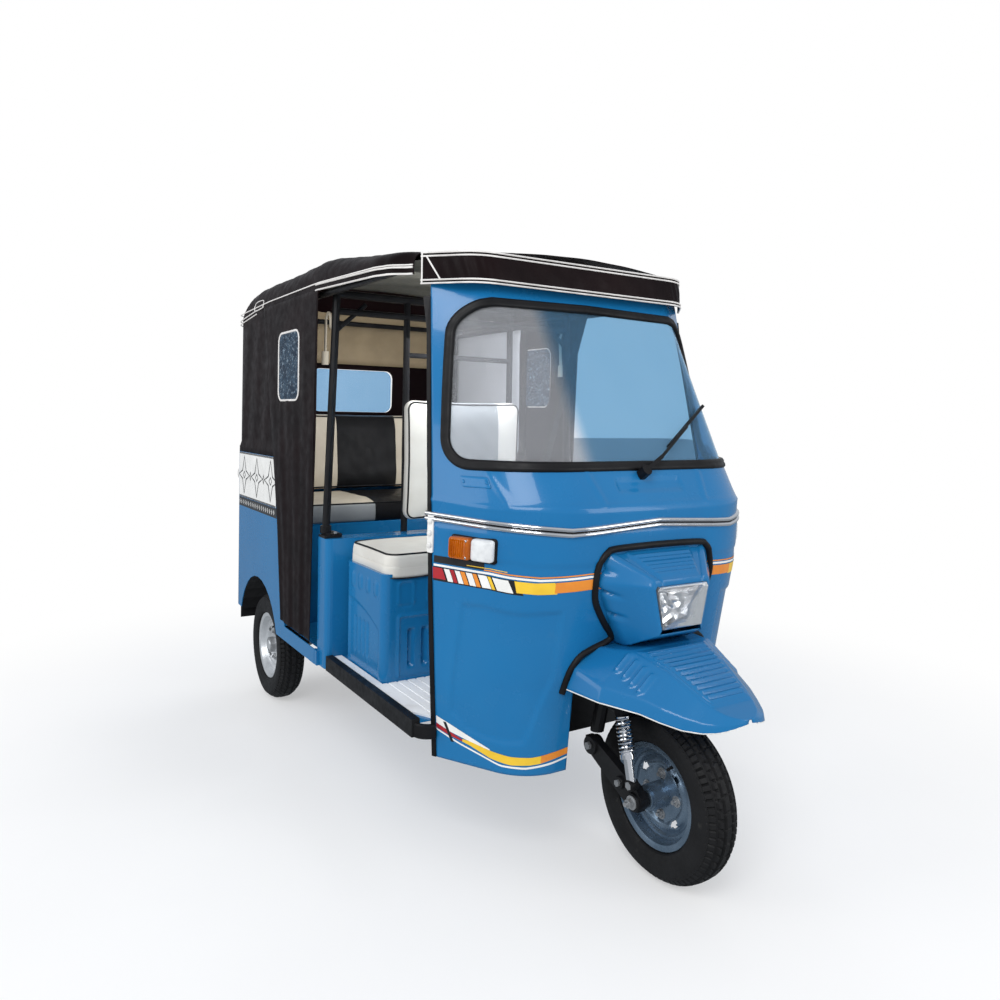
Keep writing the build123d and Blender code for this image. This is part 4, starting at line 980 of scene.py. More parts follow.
def build_canopy():
    """The canopy's cloth over roof, sides and rear, with its window opening, sag and folds."""
    no_limit = 9
    rows = [canopy_arch(b, no_limit) for b in (*np.linspace(0.404, 0.520, 9), *np.linspace(0.534, 2.015, 84))]
    front = len(rows)
    for t in np.linspace(0, 1, 20)[1:]:
        rows.append(canopy_arch(2.015 + 0.330 * t, 1.925 - 0.265 * t))
    chamfer = len(rows)
    for limit in np.linspace(1.66, BELT, 30)[1:]:
        rows.append(canopy_arch(2.345, limit))
    grid = np.array(rows)
    top = grid[..., 2] > BELT + 0.03
    soft = softened(grid[front - 10:chamfer + 6], 9, 0)
    grid[front - 10:chamfer + 6] = np.where(top[front - 10:chamfer + 6, :, None], soft, grid[front - 10:chamfer + 6])
    back = FX - grid[..., 0]
    grid[..., 0] += 0.022 * np.clip((grid[..., 2] - 0.9) / 0.76, 0, 1) * np.clip((back - 2.2) / 0.145, 0, 1)
    across = np.abs(grid[..., 1])
    roof = ease((grid[..., 2] - 1.775) / 0.04)
    sag = np.zeros_like(back)
    for near, far, depth in ((0.45, 1.20, 0.004), (1.20, 2.02, 0.006)):
        t = np.clip((back - near) / (far - near), 0, 1)
        sag += depth * np.sin(math.pi * t) ** 2
    folds = 0.0012 * np.sin(back * 41 + across * 23) * np.sin(across * 17 + 1.3)
    folds += 0.0009 * np.sin(back * 73 - across * 31)
    folds += 0.0016 * np.exp(-((across - 0.47) / 0.05) ** 2) * np.sin(back * 58)
    grid[..., 2] -= roof * (sag + folds)
    wall = ease((1.70 - grid[..., 2]) / 0.05) * ease((grid[..., 2] - 1.12) / 0.05)
    side = wall * (across > 0.52) * (back < 2.27)
    grid[..., 1] += np.sign(grid[..., 1]) * side * (-0.0025 + 0.0022 * np.sin(back * 34 + grid[..., 2] * 6))
    rear = wall * ease((back - 2.30) / 0.03)
    grid[..., 0] += rear * (0.003 + 0.0022 * np.sin(grid[..., 1] * 19 + grid[..., 2] * 5))
    columns = grid.shape[1]
    wall_columns = 26
    faces = []
    backs = FX - np.array([r[0, 0] for r in rows])
    for face in grid_faces(len(rows), columns):
        r, c = divmod(face[0], columns)
        on_wall = c < wall_columns or c >= columns - 1 - wall_columns
        if not (on_wall and (backs[r] + backs[r + 1]) / 2 < ENTRY_REAR):
            faces.append(face)
    mesh, bm = editable("canopy_cloth", grid.reshape(-1, 3).tolist(), faces)
    bmesh.ops.remove_doubles(bm, verts=bm.verts, dist=0.0004)
    bmesh.ops.dissolve_degenerate(bm, dist=1e-5, edges=bm.edges)
    drop_loose(bm)
    for place, way in (((CLOTH_FRONT, 0, 0), (1, 0, 0)), ((0, 0, CLOTH_LOW), (0, 0, 1))):
        cut_plane(bm, lambda c: c.x > CLOTH_FRONT - 0.052, place, way)
    drop_faces(bm, lambda c: c.x > CLOTH_FRONT and c.z < CLOTH_LOW)
    cut_hole(bm, rounded_box(*REAR_WINDOW, 6), lambda c: c.x < REAR + 0.06 and abs(c.y) < 0.30 and 1.26 < c.z < 1.56)
    area = closed_mesh(mesh, bm)
    return thicken(dress("canopy_cloth", mesh, "cloth", smooth=50, stands_for=["canopy"]), 0.0022), area


canopy, canopy_area = build_canopy()


def canopy_line(back, height=None, side=-1, out=0.002):
    """Point on the canopy's side at a distance behind the front axle."""
    z = roof_value(back, 1) if height is None else height
    lean = 0.022 * min(1, max(0, (z - 0.9) / 0.76)) * min(1, max(0, (back - 2.2) / 0.145))
    return (FX - back + lean, side * (canopy_half(back) + out), z)


piping_parts = []
backs = np.concatenate([np.linspace(0.55, 2.27, 90), 2.27 + 0.072 * np.sin(np.linspace(0.1, math.pi / 2, 10))])
for side in (-1, 1):
    upper = [canopy_line(b, roof_value(b, 1) - 0.002, side) for b in backs]
    piping_parts.append(tube_mesh(upper, 0.0024, 6))
    for rise in (0.021, 0.001):
        hem = [canopy_line(b, float(between(b, HEM)) + rise, side, 0.0025) for b in backs if b < 1.24]
        piping_parts.append(tube_mesh(hem, 0.0032, 6))
    for height in (1.716, 1.700):
        rear = [canopy_line(b, height + 0.03 * (2.345 - b) / 0.35, side, 0.0025) for b in backs if b > 1.99]
        piping_parts.append(tube_mesh(rear, 0.0026, 6))
    tab = [canopy_line(b, z, side, 0.004) for b, z in ((1.90, 1.748), (1.90, 1.780), (2.02, 1.780), (2.02, 1.745))]
    tab = [(x, y - side * (0.006 if z > 1.77 else 0), z) for x, y, z in tab]
    piping_parts.append(tube_mesh(smooth_line(tab + tab[:1], 0.02), 0.0024, 6))
for height in (1.716, 1.700):
    piping_parts.append(tube_mesh([(REAR + 0.021, y, height) for y in np.linspace(-0.53, 0.53, 40)], 0.0026, 6))
piping = merged("canopy_piping", piping_parts, "piping", smooth=60)

# ---------------------------------------------------------------- visor
VISOR = [(1.6765, -0.520, 0.528, -0.384, 0.404, 0.125), (1.7715, -0.524, 0.526, -0.396, 0.402, 0.125)]  # as COWL
VISOR_LOW, VISOR_HIGH = VISOR[0][0], VISOR[1][0]


def visor_point(q, height, out=0.0):
    """Point on the visor band; q runs from 0 at the middle to 3 at the end, negative to the right."""
    share = (height - VISOR_LOW) / (VISOR_HIGH - VISOR_LOW)
    low = plan_points(VISOR[0], np.array([abs(q)]), out)[0][0]
    high = plan_points(VISOR[1], np.array([abs(q)]), out)[0][0]
    x, y = low + (high - low) * share
    return (x, math.copysign(y, q), height)


visor_q = np.concatenate([np.linspace(a, b, count, endpoint=False) for a, b, count in
                          ((-3, -2, 14), (-2, -1, 26), (-1, 1, 80), (1, 2, 26))] + [np.linspace(2, 3, 14)])
visor_rows = []
for height in np.linspace(VISOR_LOW, VISOR_HIGH, 12):
    swell = math.sin(math.pi * (height - VISOR_LOW) / (VISOR_HIGH - VISOR_LOW))
    visor_rows.append([visor_point(q, height, -0.001 + 0.002 * swell + 0.0012 * math.sin(q * 21 + height * 60) * swell)
                       for q in visor_q])
visor = piece("visor_cloth", *grid_mesh(visor_rows), "cloth", smooth=60, stands_for=["visor"])
thicken(visor, 0.0025)
visor_lines = []
for height in (1.7705, 1.7600, 1.6885, 1.6785):
    visor_lines.append(tube_mesh([visor_point(q, height, 0.0018) for q in visor_q], 0.0028, 6))
for side in (-1, 1):
    visor_lines.append(tube_mesh([visor_point(side * 2.97, z, 0.002) for z in np.linspace(1.679, 1.770, 8)], 0.0028, 6))
    slant = [visor_point(side * (2.86 - 0.34 * t), 1.760 - 0.070 * t, 0.002) for t in np.linspace(0, 1, 8)]
    visor_lines.append(tube_mesh(slant, 0.0026, 6))
visor_piping = merged("visor_piping", visor_lines, "piping", smooth=60)


# ---------------------------------------------------------------- side curtains
CURTAIN_WINDOW = (FX - 1.530, 1.475)     # middle of the curtain's window


def build_curtain(name, side):
    """A hanging side curtain with a window, its piping and a stitched front edge."""
    front = [(0.432, 1.240), (1.744, 1.196)]
    rear = [(0.432, 1.602), (0.452, 1.602), (0.800, 1.657), (1.744, 1.882)]
    heights = np.linspace(0.434, 1.742, 96)
    share = np.linspace(0, 1, 54)
    grid = []
    for z in heights:
        b0 = between(z, front)
        b1 = between(z, rear)
        loose = ease((1.70 - z) / 0.5)
        for t in share:
            back = b0 + (b1 - b0) * t
            fold = 0.0022 * math.sin(t * 17 + 1.6 * math.sin(z * 3.1)) + 0.0012 * math.sin(t * 37 + z * 4)
            fold += 0.0015 * math.sin(z * 9 + t * 5) * ease(t * 6) * ease((1 - t) * 6)
            grid.append((FX - back, side * (0.6028 + loose * fold * 0.8 + 0.0004), z))
    mesh, bm = editable(name, grid, grid_faces(len(heights), len(share)))
    middle_x, middle_z = CURTAIN_WINDOW
    cut_hole(bm, rounded_box(middle_x, middle_z, 0.250, 0.270, 0.038, 6),
             lambda c: abs(c.x - middle_x) < 0.17 and abs(c.z - middle_z) < 0.18, (0, 2))
    area = closed_mesh(mesh, bm)
    curtain = thicken(dress(name, mesh, "cloth", smooth=60), 0.0016, 0.0)
    edge = [(x, side * 0.6045, z) for x, z in rounded_box(middle_x, middle_z, 0.254, 0.274, 0.040, 8)]
    lines = [tube_mesh(edge, 0.0042, 7, True, normal=Vector((0, 1, 0)), flat=0.7)]
    trim = merged(name + "_window_piping", lines, "piping", smooth=60)
    stitches = [tube_mesh([(FX - between(z, front) - 0.016, side * 0.6042, z) for z in heights[::3]], 0.0012, 5)]
    seam = merged(name + "_seam", stitches, "rubber", smooth=60)
    return curtain


right_curtain = build_curtain("curtain_right", -1)
build_curtain("curtain_left", 1)
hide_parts("side_curtains")


# ---------------------------------------------------------------- front indicators, hinges, small plate
def cowl_pad(a0, a1, z0, z1, out, corner=0.008, low=-0.002, edge=0.004, bulge=0.0):
    """Raised pad with rounded corners on the cowl."""
    outline = np.array(rounded_box((a0 + a1) / 2, (z0 + z1) / 2, abs(a1 - a0), z1 - z0, corner, 5))
    middle = outline.mean(0)
    half = np.array([abs(a1 - a0), z1 - z0]) / 2
    rings = []
    for level, inset in ((low, 0.0), (out - edge, 0.0), (out - edge * 0.3, edge * 0.35), (out, edge),
                         (out + bulge * 0.7, min(half) * 0.55), (out + bulge, min(half) * 0.97)):
        scale = 1 - inset / half
        ring = middle + (outline - middle) * scale
        base = cowl_at(ring[:, 0], ring[:, 1])
        rings.append(base + cowl_normal(ring[:, 0], ring[:, 1]) * level)
    verts, faces = grid_mesh(rings, wrap_columns=True)
    return verts, faces + end_caps(len(rings), len(outline))[1:]


for side, tag in SIDES:
    base = cowl_pad(side * 0.500, side * 0.657, 0.886, 0.957, 0.008, 0.010)
    merged("indicator_base_" + tag, [base], "rubber", stands_for=["front_indicators"] if side < 0 else ())
    for part, look, a0, a1, out in (("amber", "amber", 0.577, 0.651, 0.027),
                                    ("clear", "small_lens", 0.507, 0.575, 0.022)):
        lens = cowl_pad(side * a0, side * a1, 0.892, 0.953, out, 0.009, 0.004, 0.006, 0.002)
        merged("indicator_" + part + "_" + tag, [lens], look)
    ribs = [cowl_strip([(side * a, 0.897), (side * a, 0.922), (side * a, 0.948)], half_round(0.0035, 0.0285, 0.02))
            for a in np.linspace(0.588, 0.640, 8)]
    merged("indicator_ribs_" + tag, ribs, "amber", smooth=60)
    screws = [cowl_pad(side * 0.583, side * 0.590, z, z + 0.007, 0.030, 0.003, 0.02, 0.001) for z in (0.896, 0.942)]
    merged("indicator_screws_" + tag, screws, "chrome")
    hinge = [cowl_pad(side * 0.726, side * 0.748, 0.893, 1.010, 0.005, 0.004, -0.001, 0.001)]
    for z in (0.915, 0.950, 0.985):
        hinge.append(cowl_pad(side * 0.729, side * 0.745, z - 0.008, z + 0.008, 0.013, 0.007, 0.004, 0.005))
    merged("door_hinge_" + tag, hinge, "tape_white", smooth=40)
    plate = [cowl_pad(side * 0.507, side * 0.602, 1.089, 1.119, 0.003, 0.006, -0.001, 0.001)]
    for a in (0.516, 0.593):
        plate.append(cowl_pad(side * (a - 0.005), side * (a + 0.005), 1.099, 1.109, 0.006, 0.0045, 0.002, 0.002))
    merged("wiper_blank_" + tag, plate, "paint", smooth=40)

# ---------------------------------------------------------------- wheels
TYRE = [(-0.0385, 0.1305), (-0.0385, 0.146), (-0.047, 0.1475), (-0.051, 0.151), (-0.0535, 0.158), (-0.0550, 0.166),
        (-0.0562, 0.1725), (-0.0558, 0.1745), (-0.0572, 0.180), (-0.0572, 0.190), (-0.0562, 0.200), (-0.0545, 0.208),
        (-0.0532, 0.2095), (-0.0528, 0.213)]     # one side of the tyre's section, as (across, radius)
TREAD = [(y, AXLE_Z - 0.022 * (abs(y) / 0.0505) ** 3.2) for y in np.linspace(-0.0505, 0.0505, 27)]
TYRE_STEPS = 360


def build_tyre(name, centre, body):
    """A tyre with cut ribs and blocks."""
    profile = TYRE + TREAD + [(-y, r) for y, r in TYRE[::-1]]
    verts = []
    for k in range(TYRE_STEPS):
        angle = 2 * math.pi * k / TYRE_STEPS
        for index, (y, r) in enumerate(profile):
            if len(TYRE) <= index < len(TYRE) + len(TREAD):
                rib = abs(y)
                cut = 0.0
                if min(abs(rib - 0.0135), abs(rib - 0.0330)) < 0.0022:
                    cut = 0.0062
                elif rib > 0.034:
                    cut = 0.0055 if (k + (2 if y > 0 else 0)) % 5 == 0 else 0.0
                elif rib > 0.0145:
                    cut = 0.0055 if (k + int((rib - 0.0145) / 0.0075) + (3 if y > 0 else 0)) % 6 == 0 else 0.0
                elif (k + int((y + 0.013) / 0.009)) % 10 == 0:
                    cut = 0.0035
                r -= cut
            elif index in (11, 12, len(profile) - 13, len(profile) - 12) and k % 5 == 0:
                r -= 0.003
            verts.append((centre[0] + r * math.sin(angle), centre[1] + y, centre[2] + r * math.cos(angle)))
    faces = grid_faces(TYRE_STEPS, len(profile), wrap_rows=True)
    piece(name, verts, faces, "tyre", body, 28, [name.replace("_tread", "_tyre")])


# Sections of the wheel for one facing left, as (across, radius).
RIM = [(-0.0405, 0.1438), (-0.0425, 0.1452), (-0.0440, 0.1440), (-0.0435, 0.1400), (-0.0415, 0.1330), (-0.0400, 0.1285),
       (-0.0340, 0.1262), (-0.0260, 0.1225), (-0.0180, 0.1215), (-0.0150, 0.1190), (-0.0160, 0.1120), (-0.0120, 0.1075),
       (-0.0095, 0.1050), (-0.0110, 0.1010), (-0.0165, 0.0960), (-0.0195, 0.0900), (-0.0195, 0.0840),
       (-0.0170, 0.0790), (-0.0120, 0.0740), (-0.0100, 0.0700), (-0.0105, 0.0560), (-0.0120, 0.0440),
       (-0.0120, 0.0300), (-0.0120, 0.0100)]
BARREL = [(-0.0380, 0.1295), (-0.0300, 0.1262), (-0.0180, 0.1240), (0.0180, 0.1240), (0.0300, 0.1262), (0.0380, 0.1295),
          (0.0400, 0.1330), (0.0430, 0.1400), (0.0440, 0.1440), (0.0425, 0.1452), (0.0405, 0.1438)]
NUT = [(0.0115, 0.007, 0.0175, 6), (0.0055, 0.013, 0.027, 12), (0.0155, 0.007, 0.012, 18)]  # radius, span and sides
HUB_CAP = [(0.010, 0.0), (0.010, 0.034), (0.020, 0.034), (0.024, 0.031), (0.026, 0.024), (0.040, 0.022),
           (0.043, 0.018), (0.044, 0.0)]


def build_rim(name, node, centre, face, look, body):
    """Steel wheel with a stepped disc and openings. face is the side its dish opens to."""
    steps = 192
    rows = [(-y * face, r) for y, r in RIM]
    verts = []
    for k in range(steps):
        angle = 2 * math.pi * k / steps
        for y, r in rows:
            quarter = math.cos(4 * (angle - math.pi / 4))
            swell = 0.004 * ease((0.1 - r) / 0.01) * ease((r - 0.068) / 0.008) * quarter
            y += face * swell
            verts.append((centre[0] + r * math.sin(angle), centre[1] + y, centre[2] + r * math.cos(angle)))
    faces = []
    for face_index in grid_faces(steps, len(rows), wrap_rows=True):
        k, c = divmod(face_index[0], len(rows))
        angle = 2 * math.pi * (k + 0.5) / steps
        radius = (rows[c][1] + rows[c + 1][1]) / 2
        run = abs((angle / (math.pi / 2)) % 1 - 0.5) * math.pi / 2 * radius
        slot_run = 0.0165 * math.sqrt(max(0.0, 1 - ((radius - 0.0845) / 0.011) ** 2))
        if not (0.0745 < radius < 0.0945 and run < slot_run):
            faces.append(face_index)
    thicken(piece(name, verts, faces, look, body, 40, [node]), 0.003, face)
    barrel = lathe([(-y * face, r) for y, r in BARREL], centre, 128)
    thicken(piece(name + "_barrel", *barrel, look, body, 40), 0.002, 0.0)
    nuts = []
    for quarter in range(4):
        turn = math.radians(90 * quarter)
        x, z = centre[0] + 0.057 * math.sin(turn), centre[2] + 0.057 * math.cos(turn)
        for radius, near, far, sides in NUT:
            ring = []
            for y in (near, far):
                for s in range(sides):
                    a = 2 * math.pi * s / sides
                    ring.append((x + radius * math.cos(a), centre[1] + face * y, z + radius * math.sin(a)))
            ring_faces = grid_faces(2, sides, wrap_columns=True)
            ring_faces.append(tuple(range(sides)))
            ring_faces.append(tuple(range(sides, 2 * sides)))
            nuts.append((ring, ring_faces))
    merged(name + "_nuts", nuts, "alloy", body, smooth=30)
    stem_a, stem_b = (Vector((centre[0] + r * math.sin(0.5), centre[1] + face * y, centre[2] + r * math.cos(0.5)))
                      for r, y in ((0.117, 0.016), (0.104, 0.042)))
    tube(name + "_valve", [stem_a, stem_a.lerp(stem_b, 0.5), stem_b], 0.0042, "rubber", body, 10)


WHEELS = [("front", (FX, 0.0, AXLE_Z), -1, "rim"), ("rear_right", (RX, -TRACK, AXLE_Z), -1, "rim_silver"),
          ("rear_left", (RX, TRACK, AXLE_Z), 1, "rim_silver")]
for wheel, centre, face, look in WHEELS:
    build_tyre(wheel + "_tread", centre, wheel + "_wheel")
    build_rim(wheel + "_disc", wheel + "_rim", centre, face, look, wheel + "_wheel")
    cap = lathe([(y * face, r) for y, r in HUB_CAP], centre, 48)
    piece(wheel + "_hub_cap", *cap, "alloy" if wheel == "front" else "rim_silver", wheel + "_wheel", 30)


# ---------------------------------------------------------------- cushions
def cushion(name, node, low, high, looks, corner, pull, crown, bulge, piping, raised=0.0, slope=None, zone=None,
            zone_cut=0.16):
    """Stuffed block sculpted in rings, with piping round its upper edge.

    Its sides swell and pull in between the corners, and its top is crowned. slope turns it, and zone picks the
    look of a face. raised is how far the piping, whose radius is piping, lies above the edge. The rings are given back.
    """
    x0, y0, z0 = low
    x1, y1, z1 = high
    cx, cy = (x0 + x1) / 2, (y0 + y1) / 2
    width, length = x1 - x0, y1 - y0
    outline = []
    corners = rounded_box(cx, cy, width, length, corner, 12)
    count = len(corners)
    for k in range(count):
        p, q = corners[k], corners[(k + 1) % count]
        gap = math.dist(p, q)
        parts = max(1, int(gap / 0.016))
        for s in range(parts):
            outline.append((p[0] + (q[0] - p[0]) * s / parts, p[1] + (q[1] - p[1]) * s / parts))
    outline = np.array(outline)
    u = (outline[:, 0] - cx) / (width / 2)
    v = (outline[:, 1] - cy) / (length / 2)
    middle_of_side = 1 - np.minimum(np.abs(u), np.abs(v)) ** 1.2
    direction = np.stack([u * np.abs(u) ** 3, v * np.abs(v) ** 3], -1)
    direction /= np.linalg.norm(direction, axis=1, keepdims=True)
    base = outline - direction * (pull * middle_of_side)[:, None]
    rings = []
    levels = [(z0, -0.020), (z0, -0.004), (z0 + 0.004, 0.0)]
    height = z1 - z0 - crown
    for t in np.linspace(0.1, 0.94, 9):
        levels.append((z0 + height * t, bulge * math.sin(math.pi * t)))
    levels += [(z0 + height * 0.97, -0.001), (z0 + height, -0.004)]
    for z, out in levels:
        ring = base + direction * (out - bulge)
        rings.append(np.concatenate([ring, np.full((len(ring), 1), z)], 1))
    top = base + direction * (-0.004 - bulge)
    middle = np.array([cx, cy])
    for t in np.linspace(0, 1, 22)[1:]:
        ring = middle + (top - middle) * (1 - t)
        dome = 1 - (1 - min(1.0, t * 2.2)) ** 2
        wrinkle = 0.0010 * np.sin(ring[:, 0] * 60 + ring[:, 1] * 23) * np.sin(ring[:, 1] * 41 + 1) * dome
        rings.append(np.concatenate([ring, (z0 + height + crown * dome + wrinkle)[:, None]], 1))
    grid = np.array(rings)
    if slope:
        grid = slope(grid)
    verts, faces = grid_mesh(grid, wrap_columns=True)
    obj = piece(name, verts, faces + end_caps(*grid.shape[:2])[:1], looks, smooth=70, stands_for=[node])
    bm = bmesh.new()
    bm.from_mesh(obj.data)
    bmesh.ops.remove_doubles(bm, verts=bm.verts, dist=1e-5)
    bmesh.ops.recalc_face_normals(bm, faces=bm.faces)
    if zone:
        for y in (-zone_cut, zone_cut):
            cut_plane(bm, lambda c: True, (0, y, 0), (0, 1, 0))
        for f in bm.faces:
            f.material_index = zone(f.calc_center_median())
    bm.to_mesh(obj.data)
    bm.free()
    edge_ring = 13
    tube(name + "_piping", grid[edge_ring] + np.array([0, 0, raised]), piping, "black_vinyl", closed=True, sides=6)
    return grid


seat_grid = cushion("driver_cushion", "driver_seat_cushion", (FX - 1.083, -0.517, 0.7630), (FX - 0.745, 0.517, 0.8380),
                    ["white_vinyl"], 0.045, 0.004, 0.013, 0.004, 0.0036, 0.001)
skirt_line = seat_grid[4]
length_round = np.concatenate([[0], np.cumsum(np.linalg.norm(np.diff(skirt_line, axis=0), axis=1))])


def skirt_rows(shift):
    """Rows from the skirt's top to its scalloped hem, a little outside the cushion."""
    rows = []
    for t in np.linspace(0, 1, 5):
        row = []
        for (x, y, _), run in zip(skirt_line, length_round):
            scallop = 0.012 + 0.010 * abs(math.sin(run / 0.27 * math.pi)) ** 0.7
            way = Vector((x - (FX - 0.914), y, 0)).normalized()
            out = shift + 0.0015 * t
            row.append((x + way.x * out, y + way.y * out, 0.790 - (0.020 + scallop) * t))
        rows.append(row)
    return rows


skirt = piece("driver_cushion_skirt", *grid_mesh(skirt_rows(0.002), wrap_columns=True), "white_vinyl", smooth=60)
thicken(skirt, 0.0016, 1.0)
tube("driver_skirt_piping", skirt_rows(0.0045)[-1], 0.0024, "black_vinyl", closed=True, sides=5)


def rear_zone(c):
    """Looks of the rear cushion: black in the middle and grey along the front."""
    if abs(c.y) < 0.16:
        return 1
    return 2 if c.x > FX - 1.672 else 0


cushion("rear_cushion", "rear_seat_cushion", (FX - 2.190, -0.565, 0.8127), (FX - 1.650, 0.565, 0.9100),
        ["cream_vinyl", "black_vinyl", "grey_vinyl"], 0.045, 0.006, 0.018, 0.006, 0.0040, 0.001, zone=rear_zone)


def tilt_back(grid):
    """Turns a cushion built flat into a seat back: its height becomes the way forward."""
    x, y, z = grid[..., 0], grid[..., 1], grid[..., 2]
    lean = (FX - 2.190) + (x - 0.910) * -0.0921
    return np.stack([lean + z, y, x], -1)


cushion("rear_back", "rear_seat_back", (0.912, -0.558, 0.002), (1.288, 0.558, 0.078), ["cream_vinyl", "black_vinyl"],
        0.04, 0.006, 0.016, 0.006, 0.0040, slope=tilt_back, zone=lambda c: int(abs(c.y) < 0.16))


def stand_up(grid):
    """Turns a cushion built flat into the driver's upright backrest."""
    x, y, z = grid[..., 0], grid[..., 1], grid[..., 2]
    return np.stack([FX - 1.183 + z, y, x], -1)


cushion("driver_back", "driver_backrest", (0.881, -0.261, 0.0), (1.344, 0.261, 0.047), ["white_vinyl", "grey_vinyl"],
        0.035, 0.005, 0.012, 0.004, 0.0036, slope=stand_up, zone=lambda c: int(abs(c.y) < 0.150), zone_cut=0.150)


# ---------------------------------------------------------------- rear body side panels and lining
decor_white, decor_black = [], []
for side in (-1, 1):
    y = side * (HALF + 0.0006)
    for x0, x1, z0, z1, into in ((-2.27, -1.69, 0.886, 1.098, decor_white), (-2.27, -1.68, 0.842, 0.884, decor_black)):
        rows = [[(FX + x, y, z) for x in np.linspace(x0, x1, 30)] for z in np.linspace(z0, z1, 6)]
        into.append(grid_mesh(rows))
merged("side_panel_white", decor_white, "tape_white", smooth=60)
merged("side_panel_strip", decor_black, "tape_black", smooth=60)
marks, dots = [], []


def flat_mark(points, y, width):
    """Closed flat line on a side panel."""
    line = [(FX + x, y, z) for x, z in points]
    return tube_mesh(line, width, 4, True, flat=0.16, normal=Vector((0, 1, 0)))


def diamond(x, z, half_x, half_z):
    """Corners of a diamond round a point."""
    return [(x - half_x, z), (x, z + half_z), (x + half_x, z), (x, z - half_z)]


STAR = [(-0.088, 0), (-0.030, 0.020), (0, 0.088), (0.030, 0.020), (0.088, 0), (0.030, -0.020), (0, -0.088),
        (-0.030, -0.020)]


for side in (-1, 1):
    y = side * (HALF + 0.0012)
    for k in range(3):
        x, z = -2.185 + 0.208 * k, 0.992
        marks.append(flat_mark([(x + u, z + v) for u, v in STAR], y, 0.004))
        marks.append(flat_mark(diamond(x, z, 0.020, 0.016), y, 0.003))
        for u in (-0.104, 0.104):
            marks.append(flat_mark(diamond(x + u, z, 0.010, 0.020), y, 0.003))
    for z in (0.890, 1.094):
        border = [(-2.268, z - 0.002), (-1.695, z - 0.002), (-1.695, z + 0.002), (-2.268, z + 0.002)]
        marks.append(flat_mark(border, y, 0.0015))
    for k in range(19):
        dots.append(flat_mark(diamond(-2.255 + 0.030 * k, 0.863, 0.006, 0.010), y, 0.0022))
merged("side_panel_marks", marks, "tape_black", smooth=60)
merged("side_strip_marks", dots, "tape_white", smooth=60)


def lining_sheet(name, rows, look, thickness):
    """A lining stretched inside the canopy."""
    lining = thicken(piece(name, *grid_mesh(rows), look, smooth=60), thickness, 0.0)


lining_rows = []
for z in np.linspace(1.545, 1.835, 10):
    x = REAR + 0.034 + 0.022 * (z - 0.9) / 0.76 + 0.55 * max(0, z - 1.66) + 0.2 * max(0, z - 1.62)
    lining_rows.append([(x + 0.002 * math.sin(y * 24 + z * 9), y, z) for y in np.linspace(-0.545, 0.545, 60)])
lining_sheet("rear_lining", lining_rows, "lining", 0.002)
# Roof lining sheet in dark grey: painted shade over what is a cream ceiling lining.
roof_rows = []
for back in np.linspace(0.56, 2.00, 40):
    edge, knee, crown = (roof_value(back, k) for k in (1, 2, 3))
    roof_rows.append([(FX - back, y, crown - (crown - knee) * (y / 0.52) ** 2 - 0.016 - 0.012 * (abs(y) / 0.5) ** 4
                       + 0.002 * math.sin(back * 31 + y * 9)) for y in np.linspace(-0.50, 0.50, 40)])
lining_sheet("roof_lining", roof_rows, "roof_cloth", 0.0016)

# ---------------------------------------------------------------- front leg details
def disc(centre, radius, y0, y1, steps=24):
    """Short round bar across the car, with chamfered ends."""
    chamfer = (y1 - y0) * 0.1
    profile = [(y0, 0.0001), (y0, radius * 0.94), (y0 + chamfer, radius), (y1 - chamfer, radius), (y1, radius * 0.94),
               (y1, 0.0001)]
    return lathe(profile, centre, steps)


axle = (FX, 0.0, AXLE_Z)
pivot = (FX - 0.185, 0.0, 0.327)
link_bolt = (FX - 0.052, 0, 0.270)
dark = [disc(pivot, 0.027, -0.123, -0.086), disc(axle, 0.026, -0.122, -0.080), disc(link_bolt, 0.017, -0.126, -0.110)]
merged("front_link_bosses", dark, "steel_black", "steering")
bright = [disc(axle, 0.0135, -0.1385, -0.116, 6), disc(axle, 0.007, -0.148, -0.13, 14),
          disc(axle, 0.019, -0.1255, -0.121, 20),
          disc(pivot, 0.0115, -0.133, -0.118, 6), disc(link_bolt, 0.010, -0.134, -0.124, 6),
          disc((FX + 0.010, 0, 0.290), 0.012, -0.147, -0.116, 6)]
merged("front_link_nuts", bright, "alloy", "steering", smooth=30)
shock_top = Vector((FX - 0.048, -0.122, 0.470))
shock_low = Vector((FX + 0.010, -0.132, 0.290))
way = (shock_top - shock_low).normalized()
side_way = way.cross(Vector((0, 1, 0))).normalized()
other_way = way.cross(side_way).normalized()
COIL_TURNS, COIL_RADIUS = 8.5, 0.0195
coil = []
for t in np.linspace(0, 1, 380):
    angle = 2 * math.pi * COIL_TURNS * t
    round_way = side_way * COIL_RADIUS * math.cos(angle) + other_way * COIL_RADIUS * math.sin(angle)
    coil.append(shock_low + way * (0.085 + 0.088 * t) + round_way)
shock_parts = [tube_mesh(coil, 0.0036, 8)]
for near, far, radius in ((0.006, 0.070, 0.0135), (0.068, 0.080, 0.0225), (0.079, 0.086, 0.0185),
                          (0.171, 0.178, 0.0215)):
    stretch = [shock_low + way * share for share in (near, (near + far) / 2, far)]
    shock_parts.append(tube_mesh(stretch, radius, 20))
shock_parts.append(tube_mesh([shock_low + way * 0.08, shock_low + way * 0.18], 0.0085, 14))
merged("front_shock_bright", shock_parts, "chrome", "steering", smooth=40, stands_for=["front_shock"])
eyes = [disc(tuple(end), 0.016, -0.014, 0.014) for end in (shock_low, shock_top)]
merged("front_shock_eyes", eyes, "rubber", "steering")
hub_parts = [disc(axle, 0.036, -0.066, 0.040, 48), disc(axle, 0.028, -0.073, -0.060, 40),
             disc(axle, 0.073, 0.012, 0.039, 64)]
merged("front_hub_barrel", hub_parts, "rim", "front_wheel", smooth=35, stands_for=["front_hub"])

